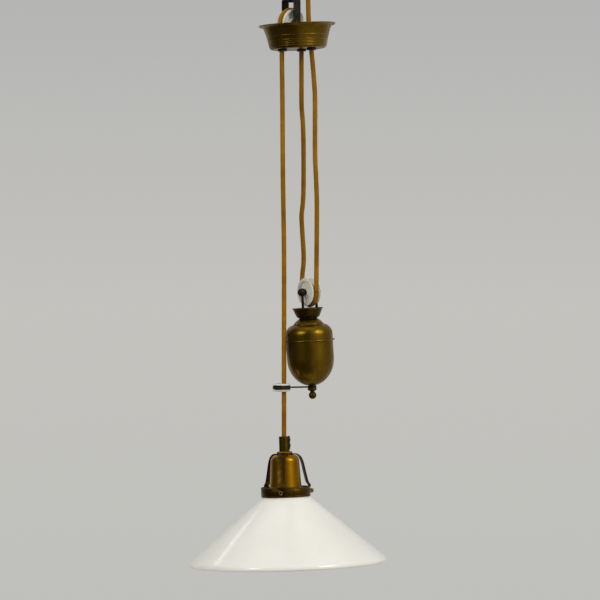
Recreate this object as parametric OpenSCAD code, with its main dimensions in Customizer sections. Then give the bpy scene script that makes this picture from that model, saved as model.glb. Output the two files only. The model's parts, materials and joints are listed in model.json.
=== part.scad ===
// Rise and fall pendant: a lamp and a counterweight on one cord that runs over two porcelain pulleys.
// Millimetres, +Z up, +X to the right of the view, -Y towards the viewer.
// The origin is the middle of the hanger eye that goes over the ceiling hook.

/* [Layout] */
// Depth of the top pulley's axle below the hanger eye
axle_drop = 44.5; // [42:0.5:50]
// Turn of the top pulley's axle away from the view's X axis, in degrees
top_turn = 50.5; // [45:0.5:56]
// Distance of the cup's floor below the hanger eye
cup_drop = 76.5; // [74:0.5:84]
// Sideways place of the cup's middle
cup_x = 9; // [8:0.5:10]
// Lean of the ceiling cup, in degrees
cup_lean = 2.8; // [0:0.1:4]
// Distance of the counterweight's rim below the hanger eye
weight_drop = 405.1; // [380:1:430]
// Place of the counterweight behind the eye
weight_y = 1.5; // [1:0.1:2]
// Turn of the weight pulley's axle away from the view's X axis, in degrees
weight_turn = 34; // [30:0.5:38]
// Lean of the counterweight, in degrees
weight_lean = 3.3; // [0:0.1:4]
// Distance of the lamp's cord grip below the hanger eye
lamp_drop = 568; // [555:1:640]
// Lean of the lamp, in degrees
lamp_lean = 1.8; // [0:0.1:3]
// Tip of the lamp with its front up, in degrees
lamp_tip = 2.4; // [0:0.1:3]

/* [Cord] */
// Diameter of the silk-covered cord
cord_d = 6; // [5.5:0.1:6.4]
// Clearance between the cord and the groove that it runs in
groove_gap = 0.6; // [0.4:0.1:1]

/* [Hanger and bracket] */
// Hole of the hanger eye
eye_bore_d = 12; // [10:0.5:14]
// Outside of the hanger eye
eye_d = 20; // [18:0.5:21]
// Thickness of the hanger eye
eye_t = 4; // [3:0.5:5]
// Thickness of the bracket's strap
strap_t = 2; // [1.5:0.1:2.5]
// Width of the bracket's strap
strap_w = 10.4; // [9:0.2:12]
// Distance of the bracket's top below the hanger eye
bridge_drop = 13.4; // [13:0.1:15]
// Diameter of the hanger's rivet stem
stem_d = 5; // [4:0.2:6]

/* [Top pulley] */
// Radius of the cord's middle on the top pulley
top_pitch_r = 17.5; // [17:0.1:18]
// Diameter of the top pulley's flanges
top_flange_d = 37.4; // [36.4:0.2:38.4]
// Thickness of the top pulley
top_pulley_t = 12.6; // [12:0.2:13.8]
// Diameter of the top axle
top_axle_d = 5; // [4:0.2:6]
// Length of the spacer at each side of the top pulley
top_spacer_l = 4.4; // [3:0.1:5]

/* [Ceiling cup] */
// Diameter of the cup's rim
cup_rim_d = 98; // [92:0.5:104]
// Diameter of the cup's floor
cup_floor_d = 69; // [66:0.5:72]
// Height of the cup
cup_h = 31.3; // [28:0.1:36]
// Thickness of the cup's sheet
cup_t = 1; // [0.8:0.1:1.4]
// Bore of the three cord bushes
bush_bore_d = 8.4; // [7.6:0.1:9]
// Outside of the bushes' sleeves
bush_sleeve_d = 10; // [9.8:0.1:10.6]
// Outside of the bushes' flanges and of their ring nuts
bush_flange_d = 12.4; // [12:0.1:13]

/* [Weight pulley] */
// Radius of the cord's middle on the weight pulley
weight_pitch_r = 16.5; // [16:0.1:17]
// Diameter of the weight pulley's flanges
weight_flange_d = 35.4; // [34.6:0.2:36.4]
// Thickness of the weight pulley
weight_pulley_t = 12.4; // [12:0.2:13.6]
// Diameter of the weight pulley's axle
weight_axle_d = 4; // [3.6:0.1:4.4]
// Length of the spacer at each side of the weight pulley
weight_spacer_l = 2.6; // [2:0.1:3.2]
// Diameter of the fork's legs
fork_wire_d = 3.4; // [3:0.1:4]
// Height of the axle above the counterweight's rim
fork_h = 20.2; // [20:0.1:24]
// Offset of the fork from the counterweight's middle
fork_offset = 3; // [2.5:0.1:3.2]

/* [Counterweight] */
// Diameter of the neck cup's rim
neck_rim_d = 40; // [39.5:0.5:44]
// Height of the neck cup
neck_h = 12.2; // [12:0.1:14]
// Largest diameter of the counterweight's body
body_d = 60; // [54:0.5:60]
// Height of the upper shell
upper_h = 27.2; // [25:0.1:30]
// Height of the straight part of the lower shell
lower_straight_h = 22.6; // [20:0.1:30]
// Height of the egg-shaped end of the lower shell
lower_egg_h = 35.4; // [30:0.2:40]
// Thickness of the counterweight's sheet brass
shell_t = 0.9; // [0.7:0.1:1.2]
// Diameter of the rod through the counterweight
rod_d = 5; // [4:0.2:6]
// Diameter of the finial's ball
finial_ball_d = 9.8; // [9:0.1:11]

/* [Cord guide] */
// Sideways place of the guide eyelet
guide_x = -12.1; // [-12.2:0.1:-11]
// Diameter of the guide eyelet
guide_d = 22.8; // [22.4:0.2:24]
// Height of the guide eyelet
guide_h = 10.2; // [9:0.1:12]
// Hole of the guide eyelet
guide_bore_d = 12.8; // [12.6:0.1:13.2]
// Diameter of the guide's wire
guide_wire_d = 2; // [1.6:0.1:2.4]

/* [Lampholder] */
// Outside of the cord grip
grip_d = 13.2; // [13:0.1:14]
// Bore of the cord grip
grip_bore_d = 7; // [6.8:0.1:7.4]
// Height of the cord grip
grip_h = 19.1; // [17:0.1:22]
// Diameter of the flange nut under the grip
flange_d = 19.7; // [19:0.1:22]
// Height of the flange nut
flange_h = 2.8; // [2:0.1:4]
// Diameter of the threaded nipple
nipple_d = 10; // [9.6:0.1:10.4]
// Diameter of the lampholder's body at its shoulder
holder_top_d = 35.6; // [35.4:0.1:36.6]
// Widening of the lampholder's body towards its open end
holder_taper = 4; // [3:0.1:4.4]
// Height of the lampholder's body
holder_h = 41; // [40:0.5:44]
// Thickness of the lampholder's sheet brass
holder_t = 0.8; // [0.6:0.1:1]
// Inside of the lampholder's screw shell
socket_bore_d = 26.7; // [26.5:0.1:27]

/* [Gallery and shade] */
// Outside of the gallery ring
ring_d = 62.8; // [62:0.2:64]
// Wall of the gallery ring
ring_t = 1.4; // [1:0.1:1.6]
// Height of the gallery ring
ring_h = 12.3; // [11:0.1:14]
// Width of a gallery arm
arm_w = 10; // [8:0.5:11]
// Thickness of a gallery arm
arm_t = 1.2; // [1:0.1:1.5]
// Diameter of the gallery screws' shanks
screw_d = 3.5; // [3:0.1:4]
// Diameter of the gallery screws' heads
screw_head_d = 5.7; // [5:0.1:6.5]
// Diameter of the shade's collar
collar_d = 57.4; // [56:0.1:58]
// Diameter of the shade's rim
shade_d = 250; // [220:1:300]
// Slope of the shade below the level, in degrees
shade_slope = 40.2; // [35:0.1:45]
// Thickness of the shade's glass
shade_t = 3; // [2.5:0.1:4]

/* [Hidden] */

cord_r = cord_d / 2;
run_gap = 0.06; // running clearance of a shaft in its bore, on the radius
fit_gap = 0.05; // clearance of fixed pieces that fit in one another
seat_gap = 0.3; // between pieces on different bodies that only meet
bracket_in = top_pulley_t / 2 + top_spacer_l + fit_gap; // half the gap between the bracket's ears
fork_in = weight_pulley_t / 2 + weight_spacer_l + fit_gap; // half the gap between the fork's eyes
fork_eye_t = fork_wire_d;
fork_leg_x = fork_in + fork_eye_t / 2;
ear_r = strap_w / 2 + 0.8;
holder_low_d = holder_top_d + holder_taper;
ring_step = 20; // distance of the rings along a strand
arm_angles = [-10, 110, -130]; // round the lamp from the front, positive to the right

// Middles of the bushes in the cup's floor, from the cup's middle
lamp_hole = [-20.1, -10];
weight_hole = [4.2, 11.5];
supply_hole = [17, -7];

// The counterweight stands clear of the lamp's strand by its widest bead
lamp_x = -9;
lamp_y = -11.1;
bead_r = 1.2;
strand_clear = 0.4;
collar_t = 1.9;
upper_top = -neck_h - collar_t; // height of the shell's flat top
seam_z = upper_top - upper_h;
reach = body_d / 2 + fit_gap + bead_r + cord_r + strand_clear;
weight_x = lamp_x + sqrt(pow(reach, 2) - pow(weight_y - lamp_y, 2)) + seam_z * sin(weight_lean);

// Where the cord runs on and off the weight's pulley
weight_axle_at = [weight_x + fork_offset * cos(weight_lean) - fork_h * sin(weight_lean), weight_y,
    -weight_drop + fork_offset * sin(weight_lean) + fork_h * cos(weight_lean)];
pulley_side = [sin(weight_turn) * cos(weight_lean), -cos(weight_turn), sin(weight_turn) * sin(weight_lean)];
end_gap = 0.5; // a strand ends this far above the half turn round the pulley
supply_end = weight_axle_at + weight_pitch_r * pulley_side + [0, 0, end_gap];
middle_end = weight_axle_at - weight_pitch_r * pulley_side + [0, 0, end_gap];

// Routes of the three strands, from the bottom up
supply_route = [supply_end, [32.7, -9.8, -273], [31.7, -9.4, -242], [30.4, -9, -212],
    [30.2, -8.6, -136], [28.9, -8.3, -115], [27.3, -8.1, -95], [25.4, -8, -78], [24.6, -7.6, -66],
    [22.2, -6, -40], [21.4, -4, -4]];
middle_route = [middle_end, middle_end + [0.9, -0.4, 22.8], middle_end + [2.3, -0.6, 35.8],
    middle_end + [2.3, -0.8, 50.8],
    [13.9, 14, -303], [13.3, 13.8, -288], [15.1, 13.6, -270], [15.8, 13.4, -250], [15.8, 12.8, -204],
    [15, 12.4, -170], [13.4, 12.1, -150], [13.2, 11.5, -84], [13.5, 11.1, -44.8]];
lamp_route = [[lamp_x, lamp_y, -lamp_drop - 7], [lamp_x, lamp_y, -330], [-10.3, lamp_y, -242],
    [-10.9, lamp_y, -150], [-11.7, lamp_y, -90], [-12.2, lamp_y, -70], [-13.5, lamp_y, -44.8]];

// Colours
iron = "#2f2a26";
patina = "#5c4a22";
bright_brass = "#a9791c";
porcelain = "#dcd9cf";
silk = "#a87d28";
opal = "#f1ede2";
black_glaze = "#1d1b19";

function arc(middle, r, from, to, steps = 8) =
    [for (i = [0:steps]) let (a = from + (to - from) * i / steps) middle + r * [cos(a), sin(a)]];

function reversed(list) = [for (i = [len(list) - 1:-1:0]) list[i]];

// The point of a route at a height: straight between its points
function column(route, k) = [for (p = route) [p[2], p[k]]];
function at_height(route, z) = [lookup(z, column(route, 0)), lookup(z, column(route, 1)), z];

// Turns from a pulley's own frame, whose X axis is the axle
module top_frame() {
    translate([0, 0, -axle_drop]) rotate([0, 0, -top_turn]) children();
}
module cup_frame() {
    translate([cup_x, -1, -cup_drop]) rotate([0, -cup_lean, 0]) children();
}
module weight_frame() {
    translate([weight_x, weight_y, -weight_drop]) rotate([0, -weight_lean, 0]) children();
}
module fork_frame() {
    weight_frame() translate([fork_offset, 0, fork_h]) rotate([0, 0, 180 + weight_turn]) children();
}
module lamp_frame() {
    translate([lamp_x, lamp_y, -lamp_drop]) rotate([-lamp_tip, -lamp_lean, 0]) children();
}
module along_x() { rotate([0, 90, 0]) children(); }
module round_lamp(angle) { rotate([0, 0, angle - 90]) children(); } // X axis to an angle from the front

module tube(outer_d, inner_d, h) {
    difference() {
        cylinder(d = outer_d, h = h, $fn = 64);
        translate([0, 0, -1]) cylinder(d = inner_d, h = h + 2, $fn = 64);
    }
}

// A strand of cord along a route, as eight-sided rings
module strand(route) {
    low = route[0][2];
    high = route[len(route) - 1][2];
    count = ceil((high - low) / ring_step);
    sides = 8;
    rings = [for (i = [0:count]) at_height(route, low + (high - low) * i / count)];
    points = [for (c = rings, k = [0:sides - 1])
        c + cord_r * [cos(360 * k / sides), sin(360 * k / sides), 0]];
    walls = [for (i = [0:count - 1], k = [0:sides - 1], half = [0, 1])
        let (a = i * sides + k, b = i * sides + (k + 1) % sides)
        half == 0 ? [a, a + sides, b] : [b, a + sides, b + sides]];
    ends = [[for (k = [0:sides - 1]) k], [for (k = [sides - 1:-1:0]) count * sides + k]];
    polyhedron(points = points, faces = concat(walls, ends), convexity = 4);
}

// Half a turn of cord round a pulley, in the pulley's frame
module half_turn(pitch_r, side) {
    rotate([side * 90, 0, 90])
        rotate_extrude(angle = 180, $fn = 96) translate([pitch_r, 0]) circle(r = cord_r, $fn = 24);
}

// A grooved porcelain pulley round the X axis
module grooved_pulley(pitch_r, flange_d, thickness, bore_d) {
    rim_r = flange_d / 2;
    half = thickness / 2;
    groove_r = cord_r + groove_gap;
    lip = groove_r + 1.6; // half the groove's width at its mouth
    edge_r = (half - lip) / 2;
    hub_r = rim_r * 0.36;
    dish_r = rim_r - 3.4;
    side = concat(
        [[bore_d / 2, half], [hub_r, half], [hub_r + 0.8, half - 1.8], [dish_r - 1.2, half - 1.8], [dish_r, half]],
        arc([rim_r - edge_r, half - edge_r], edge_r, 90, -60, 8),
        [[pitch_r, groove_r + 0.1]],
        arc([pitch_r, 0], groove_r, 110, 180, 8));
    along_x() rotate_extrude($fn = 96)
        polygon(concat(side, [for (p = reversed(side)) [p[0], -p[1]]]));
}

// ---- hanger, bracket and top pulley ----

module hanger_eye() {
    stem_low = bridge_drop + strap_t;
    color(iron) difference() {
        union() {
            rotate([90, 0, 0]) translate([0, 0, -eye_t / 2]) cylinder(d = eye_d, h = eye_t, $fn = 64);
            translate([0, 0, -stem_low]) cylinder(d = stem_d, h = stem_low - eye_bore_d / 2 - 1, $fn = 32);
            translate([0, 0, -stem_low - 2]) cylinder(d1 = stem_d, d2 = stem_d + 4, h = 2, $fn = 32);
            translate([0, 0, -bridge_drop]) cylinder(d = stem_d + 3, h = 2, $fn = 32);
        }
        rotate([90, 0, 0]) translate([0, 0, -eye_t]) cylinder(d = eye_bore_d, h = 2 * eye_t, $fn = 64);
    }
}

module pulley_bracket() {
    out = bracket_in + strap_t;
    top = axle_drop - bridge_drop; // height of the bridge's top above the axle
    corner = 3;
    color(iron) top_frame() difference() {
        intersection() {
            rotate([90, 0, 0]) translate([0, 0, -strap_w]) linear_extrude(2 * strap_w) difference() {
                union() {
                    translate([-out, -ear_r]) square([2 * out, ear_r + top - corner]);
                    translate([-out + corner, 0]) square([2 * (out - corner), top]);
                    for (s = [-1, 1]) translate([s * (out - corner), top - corner]) circle(r = corner, $fn = 32);
                }
                translate([-bracket_in, -ear_r - 1]) square([2 * bracket_in, ear_r + 1 + top - strap_t]);
            }
            along_x() translate([0, 0, -out - 1]) linear_extrude(2 * out + 2) union() {
                circle(r = ear_r, $fn = 48);
                translate([-top - 1, -strap_w / 2]) square([top + 1, strap_w]);
            }
        }
        along_x() translate([0, 0, -out - 1]) cylinder(d = top_axle_d + 2 * fit_gap, h = 2 * out + 2, $fn = 48);
        translate([0, 0, top - strap_t - 1]) cylinder(d = stem_d + 2 * fit_gap, h = strap_t + 2, $fn = 48);
    }
}

module top_axle() {
    head_x = bracket_in + strap_t;
    far_x = 29;
    color(iron) top_frame() along_x() union() {
        translate([0, 0, -far_x]) cylinder(d = top_axle_d, h = far_x + head_x, $fn = 48);
        translate([0, 0, head_x]) cylinder(d = 2 * top_axle_d, h = 2.4, $fn = 48);
    }
}

module top_axle_nuts() {
    nut_t = 4;
    first_x = bracket_in + strap_t;
    color(iron) top_frame() along_x() for (i = [0, 1]) translate([0, 0, -first_x - nut_t - i * (nut_t + 0.2)])
        difference() {
            cylinder(d = 2 * top_axle_d, h = nut_t, $fn = 6);
            translate([0, 0, -1]) cylinder(d = top_axle_d + 2 * fit_gap, h = nut_t + 2, $fn = 48);
        }
}

module top_spacers() {
    color(iron) top_frame() along_x() for (s = [-1, 1])
        translate([0, 0, s * (top_pulley_t / 2 + fit_gap + top_spacer_l / 2) - top_spacer_l / 2 + 0.02])
            tube(2 * top_axle_d, top_axle_d + 2 * fit_gap, top_spacer_l - 0.04);
}

module top_pulley() {
    color(porcelain) top_frame()
        grooved_pulley(top_pitch_r, top_flange_d, top_pulley_t, top_axle_d + 2 * run_gap);
}

// ---- the cord and its end at the ceiling ----

module top_wrap() {
    color(silk) top_frame() half_turn(top_pitch_r, 1);
}

module supply_strand() { color(silk) strand(supply_route); }
module middle_strand() { color(silk) strand(middle_route); }
module lamp_strand() { color(silk) strand(lamp_route); }

module supply_terminal() {
    end = supply_route[len(supply_route) - 1];
    size = [20, 13, 15];
    color(porcelain) translate([end[0], end[1], end[2] - 4]) difference() {
        translate([-size[0] / 2, -size[1] / 2, 0]) cube(size);
        translate([0, 0, -1]) cylinder(d = cord_d + 0.4, h = 5, $fn = 48);
        for (s = [-1, 1]) {
            translate([s * 5.4, 0, 3.5]) cylinder(d = 3.4, h = size[2], $fn = 32);
            translate([s * 5.4, 1, 8]) rotate([90, 0, 0]) cylinder(d = 4, h = size[1], $fn = 32);
        }
    }
}

module terminal_screws() {
    end = supply_route[len(supply_route) - 1];
    color(bright_brass) translate([end[0], end[1], end[2] - 4]) for (s = [-1, 1])
        translate([s * 5.4, -1.8, 8]) rotate([90, 0, 0]) cylinder(d = 3.9, h = 4, $fn = 32);
}

// ---- ceiling cup ----

function cup_side(inset) = let (r0 = cup_floor_d / 2, r1 = cup_rim_d / 2)
    [[r0 - 1.6 - inset, inset], [r0 + 0.6 - inset, 0.9 + inset], [r0 + 2 - inset, 3], [r0 + 3.2 - inset, 9],
     [r0 + 4.6 - inset, 15], [r0 + 6.6 - inset, 20.5], [r0 + 9 - inset, cup_h - 6], [r0 + 11 - inset, cup_h - 3],
     [r1 - 1, cup_h - (inset > 0 ? 0 : 1)], [r1, cup_h - (inset > 0 ? 0.2 : 0.8)]];

module ceiling_cup() {
    color(patina) cup_frame() difference() {
        rotate_extrude($fn = 128) polygon(concat(
            [[0, 0]], cup_side(0), reversed(cup_side(cup_t)), [[0, cup_t]]));
        for (p = [lamp_hole, weight_hole, supply_hole]) translate([p[0], p[1], -1])
            cylinder(d = bush_sleeve_d + 2 * fit_gap, h = cup_t + 2, $fn = 48);
    }
}

module bush(place) {
    color(black_glaze) cup_frame() translate([place[0], place[1], 0]) difference() {
        union() {
            translate([0, 0, -2.6]) cylinder(d = bush_flange_d, h = 2.6, $fn = 64);
            cylinder(d = bush_sleeve_d, h = cup_t + 4, $fn = 64);
        }
        translate([0, 0, -4]) cylinder(d = bush_bore_d, h = 14, $fn = 64);
    }
}
module lamp_bush() { bush(lamp_hole); }
module weight_bush() { bush(weight_hole); }
module supply_bush() { bush(supply_hole); }

module bush_nuts() {
    color(patina) cup_frame() for (p = [lamp_hole, weight_hole, supply_hole])
        translate([p[0], p[1], cup_t]) tube(bush_flange_d, bush_sleeve_d + 2 * fit_gap, 2.4);
}

// ---- counterweight ----

module weight_fork() {
    yoke_t = 3;
    yoke_z = -fork_h - 7; // underside of the yoke, from the axle
    color(iron) difference() {
        fork_frame() difference() {
            union() for (s = [-1, 1]) {
                translate([s * fork_leg_x, 0, yoke_z]) cylinder(d = fork_wire_d, h = -yoke_z - 3, $fn = 32);
                translate([s * fork_leg_x, 0, 0]) along_x() translate([0, 0, -fork_eye_t / 2])
                    cylinder(d = weight_axle_d + 6, h = fork_eye_t, $fn = 48);
                translate([-fork_leg_x, -5, yoke_z]) cube([2 * fork_leg_x, 10, yoke_t]);
            }
            along_x() translate([0, 0, -20]) cylinder(d = weight_axle_d + 2 * fit_gap, h = 40, $fn = 48);
        }
        weight_frame() translate([0, 0, -20]) cylinder(d = rod_d + 2 * fit_gap, h = 20, $fn = 48);
    }
}

module weight_axle() {
    head_x = fork_in + fork_eye_t;
    color(iron) fork_frame() along_x() union() {
        translate([0, 0, -head_x - 5]) cylinder(d = weight_axle_d, h = 2 * head_x + 5, $fn = 48);
        translate([0, 0, head_x]) intersection() {
            translate([0, 0, -0.6]) sphere(d = 10, $fn = 64);
            cylinder(d = 10, h = 5, $fn = 64);
        }
    }
}

module weight_axle_nut() {
    nut_t = 3.2;
    color(iron) fork_frame() along_x() translate([0, 0, -fork_in - fork_eye_t - nut_t - 0.02]) difference() {
        cylinder(d = 8, h = nut_t, $fn = 6);
        translate([0, 0, -1]) cylinder(d = weight_axle_d + 2 * fit_gap, h = nut_t + 2, $fn = 48);
    }
}

module weight_spacers() {
    color(iron) fork_frame() along_x() for (s = [-1, 1])
        translate([0, 0, s * (weight_pulley_t / 2 + fit_gap + weight_spacer_l / 2) - weight_spacer_l / 2 + 0.02])
            tube(weight_axle_d + 4, weight_axle_d + 2 * fit_gap, weight_spacer_l - 0.04);
}

module weight_wrap() {
    color(silk) fork_frame() half_turn(weight_pitch_r, -1);
}

module weight_pulley() {
    color(porcelain) fork_frame()
        grooved_pulley(weight_pitch_r, weight_flange_d, weight_pulley_t, weight_axle_d + 2 * run_gap);
}

function neck_side(inset) = let (r1 = neck_rim_d / 2)
    [[r1 - 6.6 - inset, -neck_h + inset], [r1 - 5 - inset, -neck_h + 2], [r1 - 3.9 - inset, -7.6],
     [r1 - 2.9 - inset, -5], [r1 - 1.9 - inset, -2.6], [r1 - 0.4, -inset * 0.2 - (inset > 0 ? 0 : 0.9)], [r1, -0.3]];

module neck_cup() {
    color(patina) weight_frame() difference() {
        rotate_extrude($fn = 96) polygon(concat(
            [[0, -neck_h]], neck_side(0), reversed(neck_side(shell_t)), [[0, -neck_h + shell_t]]));
        translate([0, 0, -neck_h - 1]) cylinder(d = rod_d + 2 * fit_gap, h = 4, $fn = 48);
    }
}

// One nut lies under the fork's yoke and one clamps it
module rod_nuts() {
    under = neck_h - shell_t - 7;
    color(iron) weight_frame() for (part = [[-neck_h + shell_t, under - 0.02], [-4 + 0.02, 2]])
        translate([0, 0, part[0]]) difference() {
            cylinder(d = 9.2, h = part[1], $fn = 6);
            translate([0, 0, -1]) cylinder(d = rod_d + 2 * fit_gap, h = 8, $fn = 48);
        }
}

module collar_ring() {
    color(patina) weight_frame() translate([0, 0, -neck_h - collar_t]) tube(23.4, rod_d + 2 * fit_gap, collar_t);
}

dome_r = 13;
function upper_side(inset) = let (r = body_d / 2)
    concat([[0, upper_top - inset]],
        [[12.4 - inset, upper_top - inset], [13.2 - inset, upper_top - 1.6 - inset],
         [15.4 - inset, upper_top - 4.2 - inset], [18.4 - inset, upper_top - 5.9 - inset],
         [20 - inset, upper_top - 6.3 - inset]],
        arc([r - dome_r, upper_top - 19.6], dome_r - inset, 74, 0, 12),
        [[r - inset, seam_z]]);

module upper_shell() {
    color(patina) weight_frame() difference() {
        rotate_extrude($fn = 128) polygon(concat(upper_side(0), reversed(upper_side(shell_t))));
        translate([0, 0, seam_z]) cylinder(d = rod_d + 2 * fit_gap, h = upper_h + 2, $fn = 48);
    }
}

module seam_ring() {
    color(patina) weight_frame() translate([0, 0, seam_z]) rotate_extrude($fn = 128)
        polygon(concat([[body_d / 2 + fit_gap, -bead_r], [body_d / 2 + fit_gap, bead_r]],
            arc([body_d / 2 + fit_gap, 0], bead_r, 80, -80, 8)));
}

egg_z = seam_z - lower_straight_h;
low_z = egg_z - lower_egg_h;
function lower_side(inset) = concat([[body_d / 2 - inset, seam_z - fit_gap]],
    [for (a = [0:7.5:90]) [(body_d / 2 - inset) * cos(a), egg_z - (lower_egg_h - inset) * sin(a)]]);

module lower_shell() {
    color(patina) weight_frame() difference() {
        rotate_extrude($fn = 128) polygon(concat(lower_side(0), reversed(lower_side(shell_t))));
        translate([0, 0, low_z - 1]) cylinder(d = rod_d + 2 * fit_gap, h = 10, $fn = 48);
    }
}

module iron_core() {
    inset = shell_t + fit_gap;
    upper = upper_side(inset);
    lower = lower_side(inset);
    color(iron) weight_frame() difference() {
        rotate_extrude($fn = 96) polygon(concat(upper, lower));
        translate([0, 0, low_z - 1]) cylinder(d = rod_d + 2 * fit_gap, h = -low_z, $fn = 48);
    }
}

eye_plate_t = 2;
finial_z = low_z - eye_plate_t;
finial_nut_h = 4.2;
ball_z = finial_z - finial_nut_h - 1 - finial_ball_d / 2;
module weight_rod() {
    low = finial_z - finial_nut_h;
    color(iron) weight_frame() translate([0, 0, low]) cylinder(d = rod_d, h = -low - 1.7, $fn = 48);
}

module finial() {
    color(patina) weight_frame() difference() {
        union() {
            rotate_extrude($fn = 64) polygon([[0, finial_z], [4.6, finial_z], [5.8, finial_z - 0.9],
                [5.8, finial_z - 3.1], [4.2, finial_z - finial_nut_h], [2.9, finial_z - finial_nut_h - 0.8],
                [2.9, ball_z + 3], [0, ball_z + 3]]);
            translate([0, 0, ball_z]) sphere(d = finial_ball_d, $fn = 64);
        }
        translate([0, 0, finial_z - finial_nut_h - fit_gap])
            cylinder(d = rod_d + 2 * fit_gap, h = finial_nut_h + 2, $fn = 48);
    }
}

guide_groove_r = guide_d / 2 - 3.3;
loop_r = guide_groove_r + guide_wire_d / 2 + fit_gap;
turn_z = guide_wire_d / 2 - 0.05; // the loop has two turns, one above the other
plate_z = low_z - eye_plate_t / 2;
plate_at = [weight_x - plate_z * sin(weight_lean), weight_y, -weight_drop + plate_z * cos(weight_lean)];
guide_z = plate_at[2] - 0.5;

module guide_arm() {
    start = [plate_at[0], plate_at[1]];
    to = [guide_x, lamp_y];
    reach = norm(to - start);
    turn = atan2(to[1] - start[1], to[0] - start[0]);
    plate_r = 5.6;
    color(iron) union() {
        weight_frame() translate([0, 0, low_z - eye_plate_t]) tube(2 * plate_r, rod_d + 2 * fit_gap, eye_plate_t);
        translate([start[0], start[1], guide_z]) rotate([0, 0, turn]) along_x()
            translate([0, 0, plate_r - 0.8]) cylinder(d = guide_wire_d, h = reach - loop_r - plate_r + 0.8, $fn = 24);
        translate([guide_x, to[1], guide_z]) rotate_extrude($fn = 64) for (s = [-1, 1])
            translate([loop_r, s * turn_z]) circle(d = guide_wire_d, $fn = 16);
    }
}

module guide_eyelet() {
    half = guide_h / 2;
    r = guide_d / 2;
    bore = guide_bore_d / 2;
    slot = turn_z + guide_wire_d / 2 + fit_gap;
    side = concat([[bore, 0], [bore, half - 1.8]], arc([bore + 1.8, half - 1.8], 1.8, 180, 90, 4),
        arc([r - 2, half - 2], 2, 90, 0, 5), [[r, slot + 0.5], [r - 0.5, slot], [guide_groove_r, slot]]);
    color(porcelain) translate([guide_x, lamp_y, guide_z]) rotate_extrude($fn = 96)
        polygon(concat(side, [for (p = reversed(side)) if (p[1] > 0) [p[0], -p[1]]]));
}

// ---- lampholder ----

body_top = -grip_h - flange_h - arm_t; // height of the lampholder's top below the grip's mouth
body_low = body_top - holder_h;

clamp_turn = 75; // the grip's slot and its clamp bar, round the lamp from the front
bar_w = 4;
bar_in = grip_d / 2 - 1;
bar_span = [-16.5, 0.5];
grip_screw_z = [-11.5, -4.5];
grip_screw_d = 2.6;
module cord_grip() {
    slot_w = 1.2;
    color(bright_brass) lamp_frame() difference() {
        translate([0, 0, -grip_h]) cylinder(d = grip_d, h = grip_h, $fn = 64);
        translate([0, 0, -grip_h + 5]) cylinder(d = grip_bore_d, h = grip_h, $fn = 64);
        translate([0, 0, -grip_h - 1]) cylinder(d = nipple_d + 2 * fit_gap, h = 6, $fn = 64);
        round_lamp(clamp_turn) {
            translate([0, -slot_w / 2, -13]) cube([grip_d, slot_w, 14]);
            translate([bar_in, -bar_w / 2 - fit_gap, bar_span[0] - fit_gap]) cube([3, bar_w + 2 * fit_gap, 20]);
            for (z = grip_screw_z) translate([0, 0, z]) along_x()
                cylinder(d = grip_screw_d + 2 * fit_gap, h = grip_d, $fn = 32);
        }
    }
}

// The clamp bar in the grip's slot and the two screws through it
module grip_screws() {
    tip = grip_bore_d / 2 + 0.3;
    bar_t = 1.6;
    out = bar_in + fit_gap + bar_t;
    color(iron) lamp_frame() round_lamp(clamp_turn) union() {
        translate([bar_in + fit_gap, -bar_w / 2, bar_span[0]]) cube([bar_t, bar_w, bar_span[1] - bar_span[0]]);
        for (z = grip_screw_z) translate([0, 0, z]) along_x() union() {
            translate([0, 0, tip]) cylinder(d = grip_screw_d, h = out - tip, $fn = 32);
            translate([0, 0, out - 0.1]) cylinder(d = 3.6, h = 0.8, $fn = 32);
        }
    }
}

nipple_low = body_top - holder_t - 5;
module nipple() {
    color(bright_brass) lamp_frame() translate([0, 0, nipple_low])
        tube(nipple_d, grip_bore_d + 0.2, -grip_h + 4.9 - nipple_low);
}

module flange_nut() {
    color(bright_brass) lamp_frame() translate([0, 0, -grip_h - flange_h]) difference() {
        rotate_extrude($fn = 64) polygon([[0, 0], [flange_d / 2 - 0.5, 0], [flange_d / 2, 0.6],
            [flange_d / 2, flange_h - 0.8], [flange_d / 2 - 1, flange_h], [0, flange_h]]);
        translate([0, 0, -1]) cylinder(d = nipple_d + 2 * fit_gap, h = flange_h + 2, $fn = 64);
    }
}

shoulder_r = 8.6;
function holder_side(inset) = concat([[0, body_top - inset]],
    arc([holder_top_d / 2 - shoulder_r, body_top - shoulder_r], shoulder_r - inset, 90, 0, 10),
    [[holder_low_d / 2 - inset, body_low]]);

module holder_body() {
    color(bright_brass) lamp_frame() difference() {
        rotate_extrude($fn = 96) polygon(concat(holder_side(0), reversed(holder_side(holder_t))));
        translate([0, 0, body_top - 5]) cylinder(d = nipple_d + 2 * fit_gap, h = 10, $fn = 64);
    }
}

wiring_h = 15; // room for the cores above the insert
insert_top = body_top - wiring_h;
insert_d = holder_top_d - 2 * holder_t - 0.6;
shell_d = socket_bore_d + 1;
disc_t = 9;
contact_h = 2.4;
recess_d = 12; // room round the centre contact, and the hole in the screw shell's top
clamp_x = 9; // place of the terminal clamps, from the lampholder's middle
shell_low = body_low + 1.4;
shell_top = insert_top - disc_t - contact_h + 0.4;

module cord_end() {
    mouth = lamp_route[0][2] + lamp_drop - 0.4; // where the strand leaves off inside the grip
    sheath_low = nipple_low - 1.5;
    from = [1.7, sheath_low + 1];
    to = [clamp_x, insert_top + 3];
    turn = atan2(to[0] - from[0], from[1] - to[1]);
    color(silk) lamp_frame() union() {
        translate([0, 0, sheath_low]) cylinder(d = cord_d, h = mouth - sheath_low, $fn = 24);
        for (s = [-1, 1]) translate([s * from[0], 0, from[1]]) rotate([0, 180 - s * turn, 0])
            cylinder(d = 2.2, h = norm(to - from), $fn = 16);
    }
}

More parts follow.
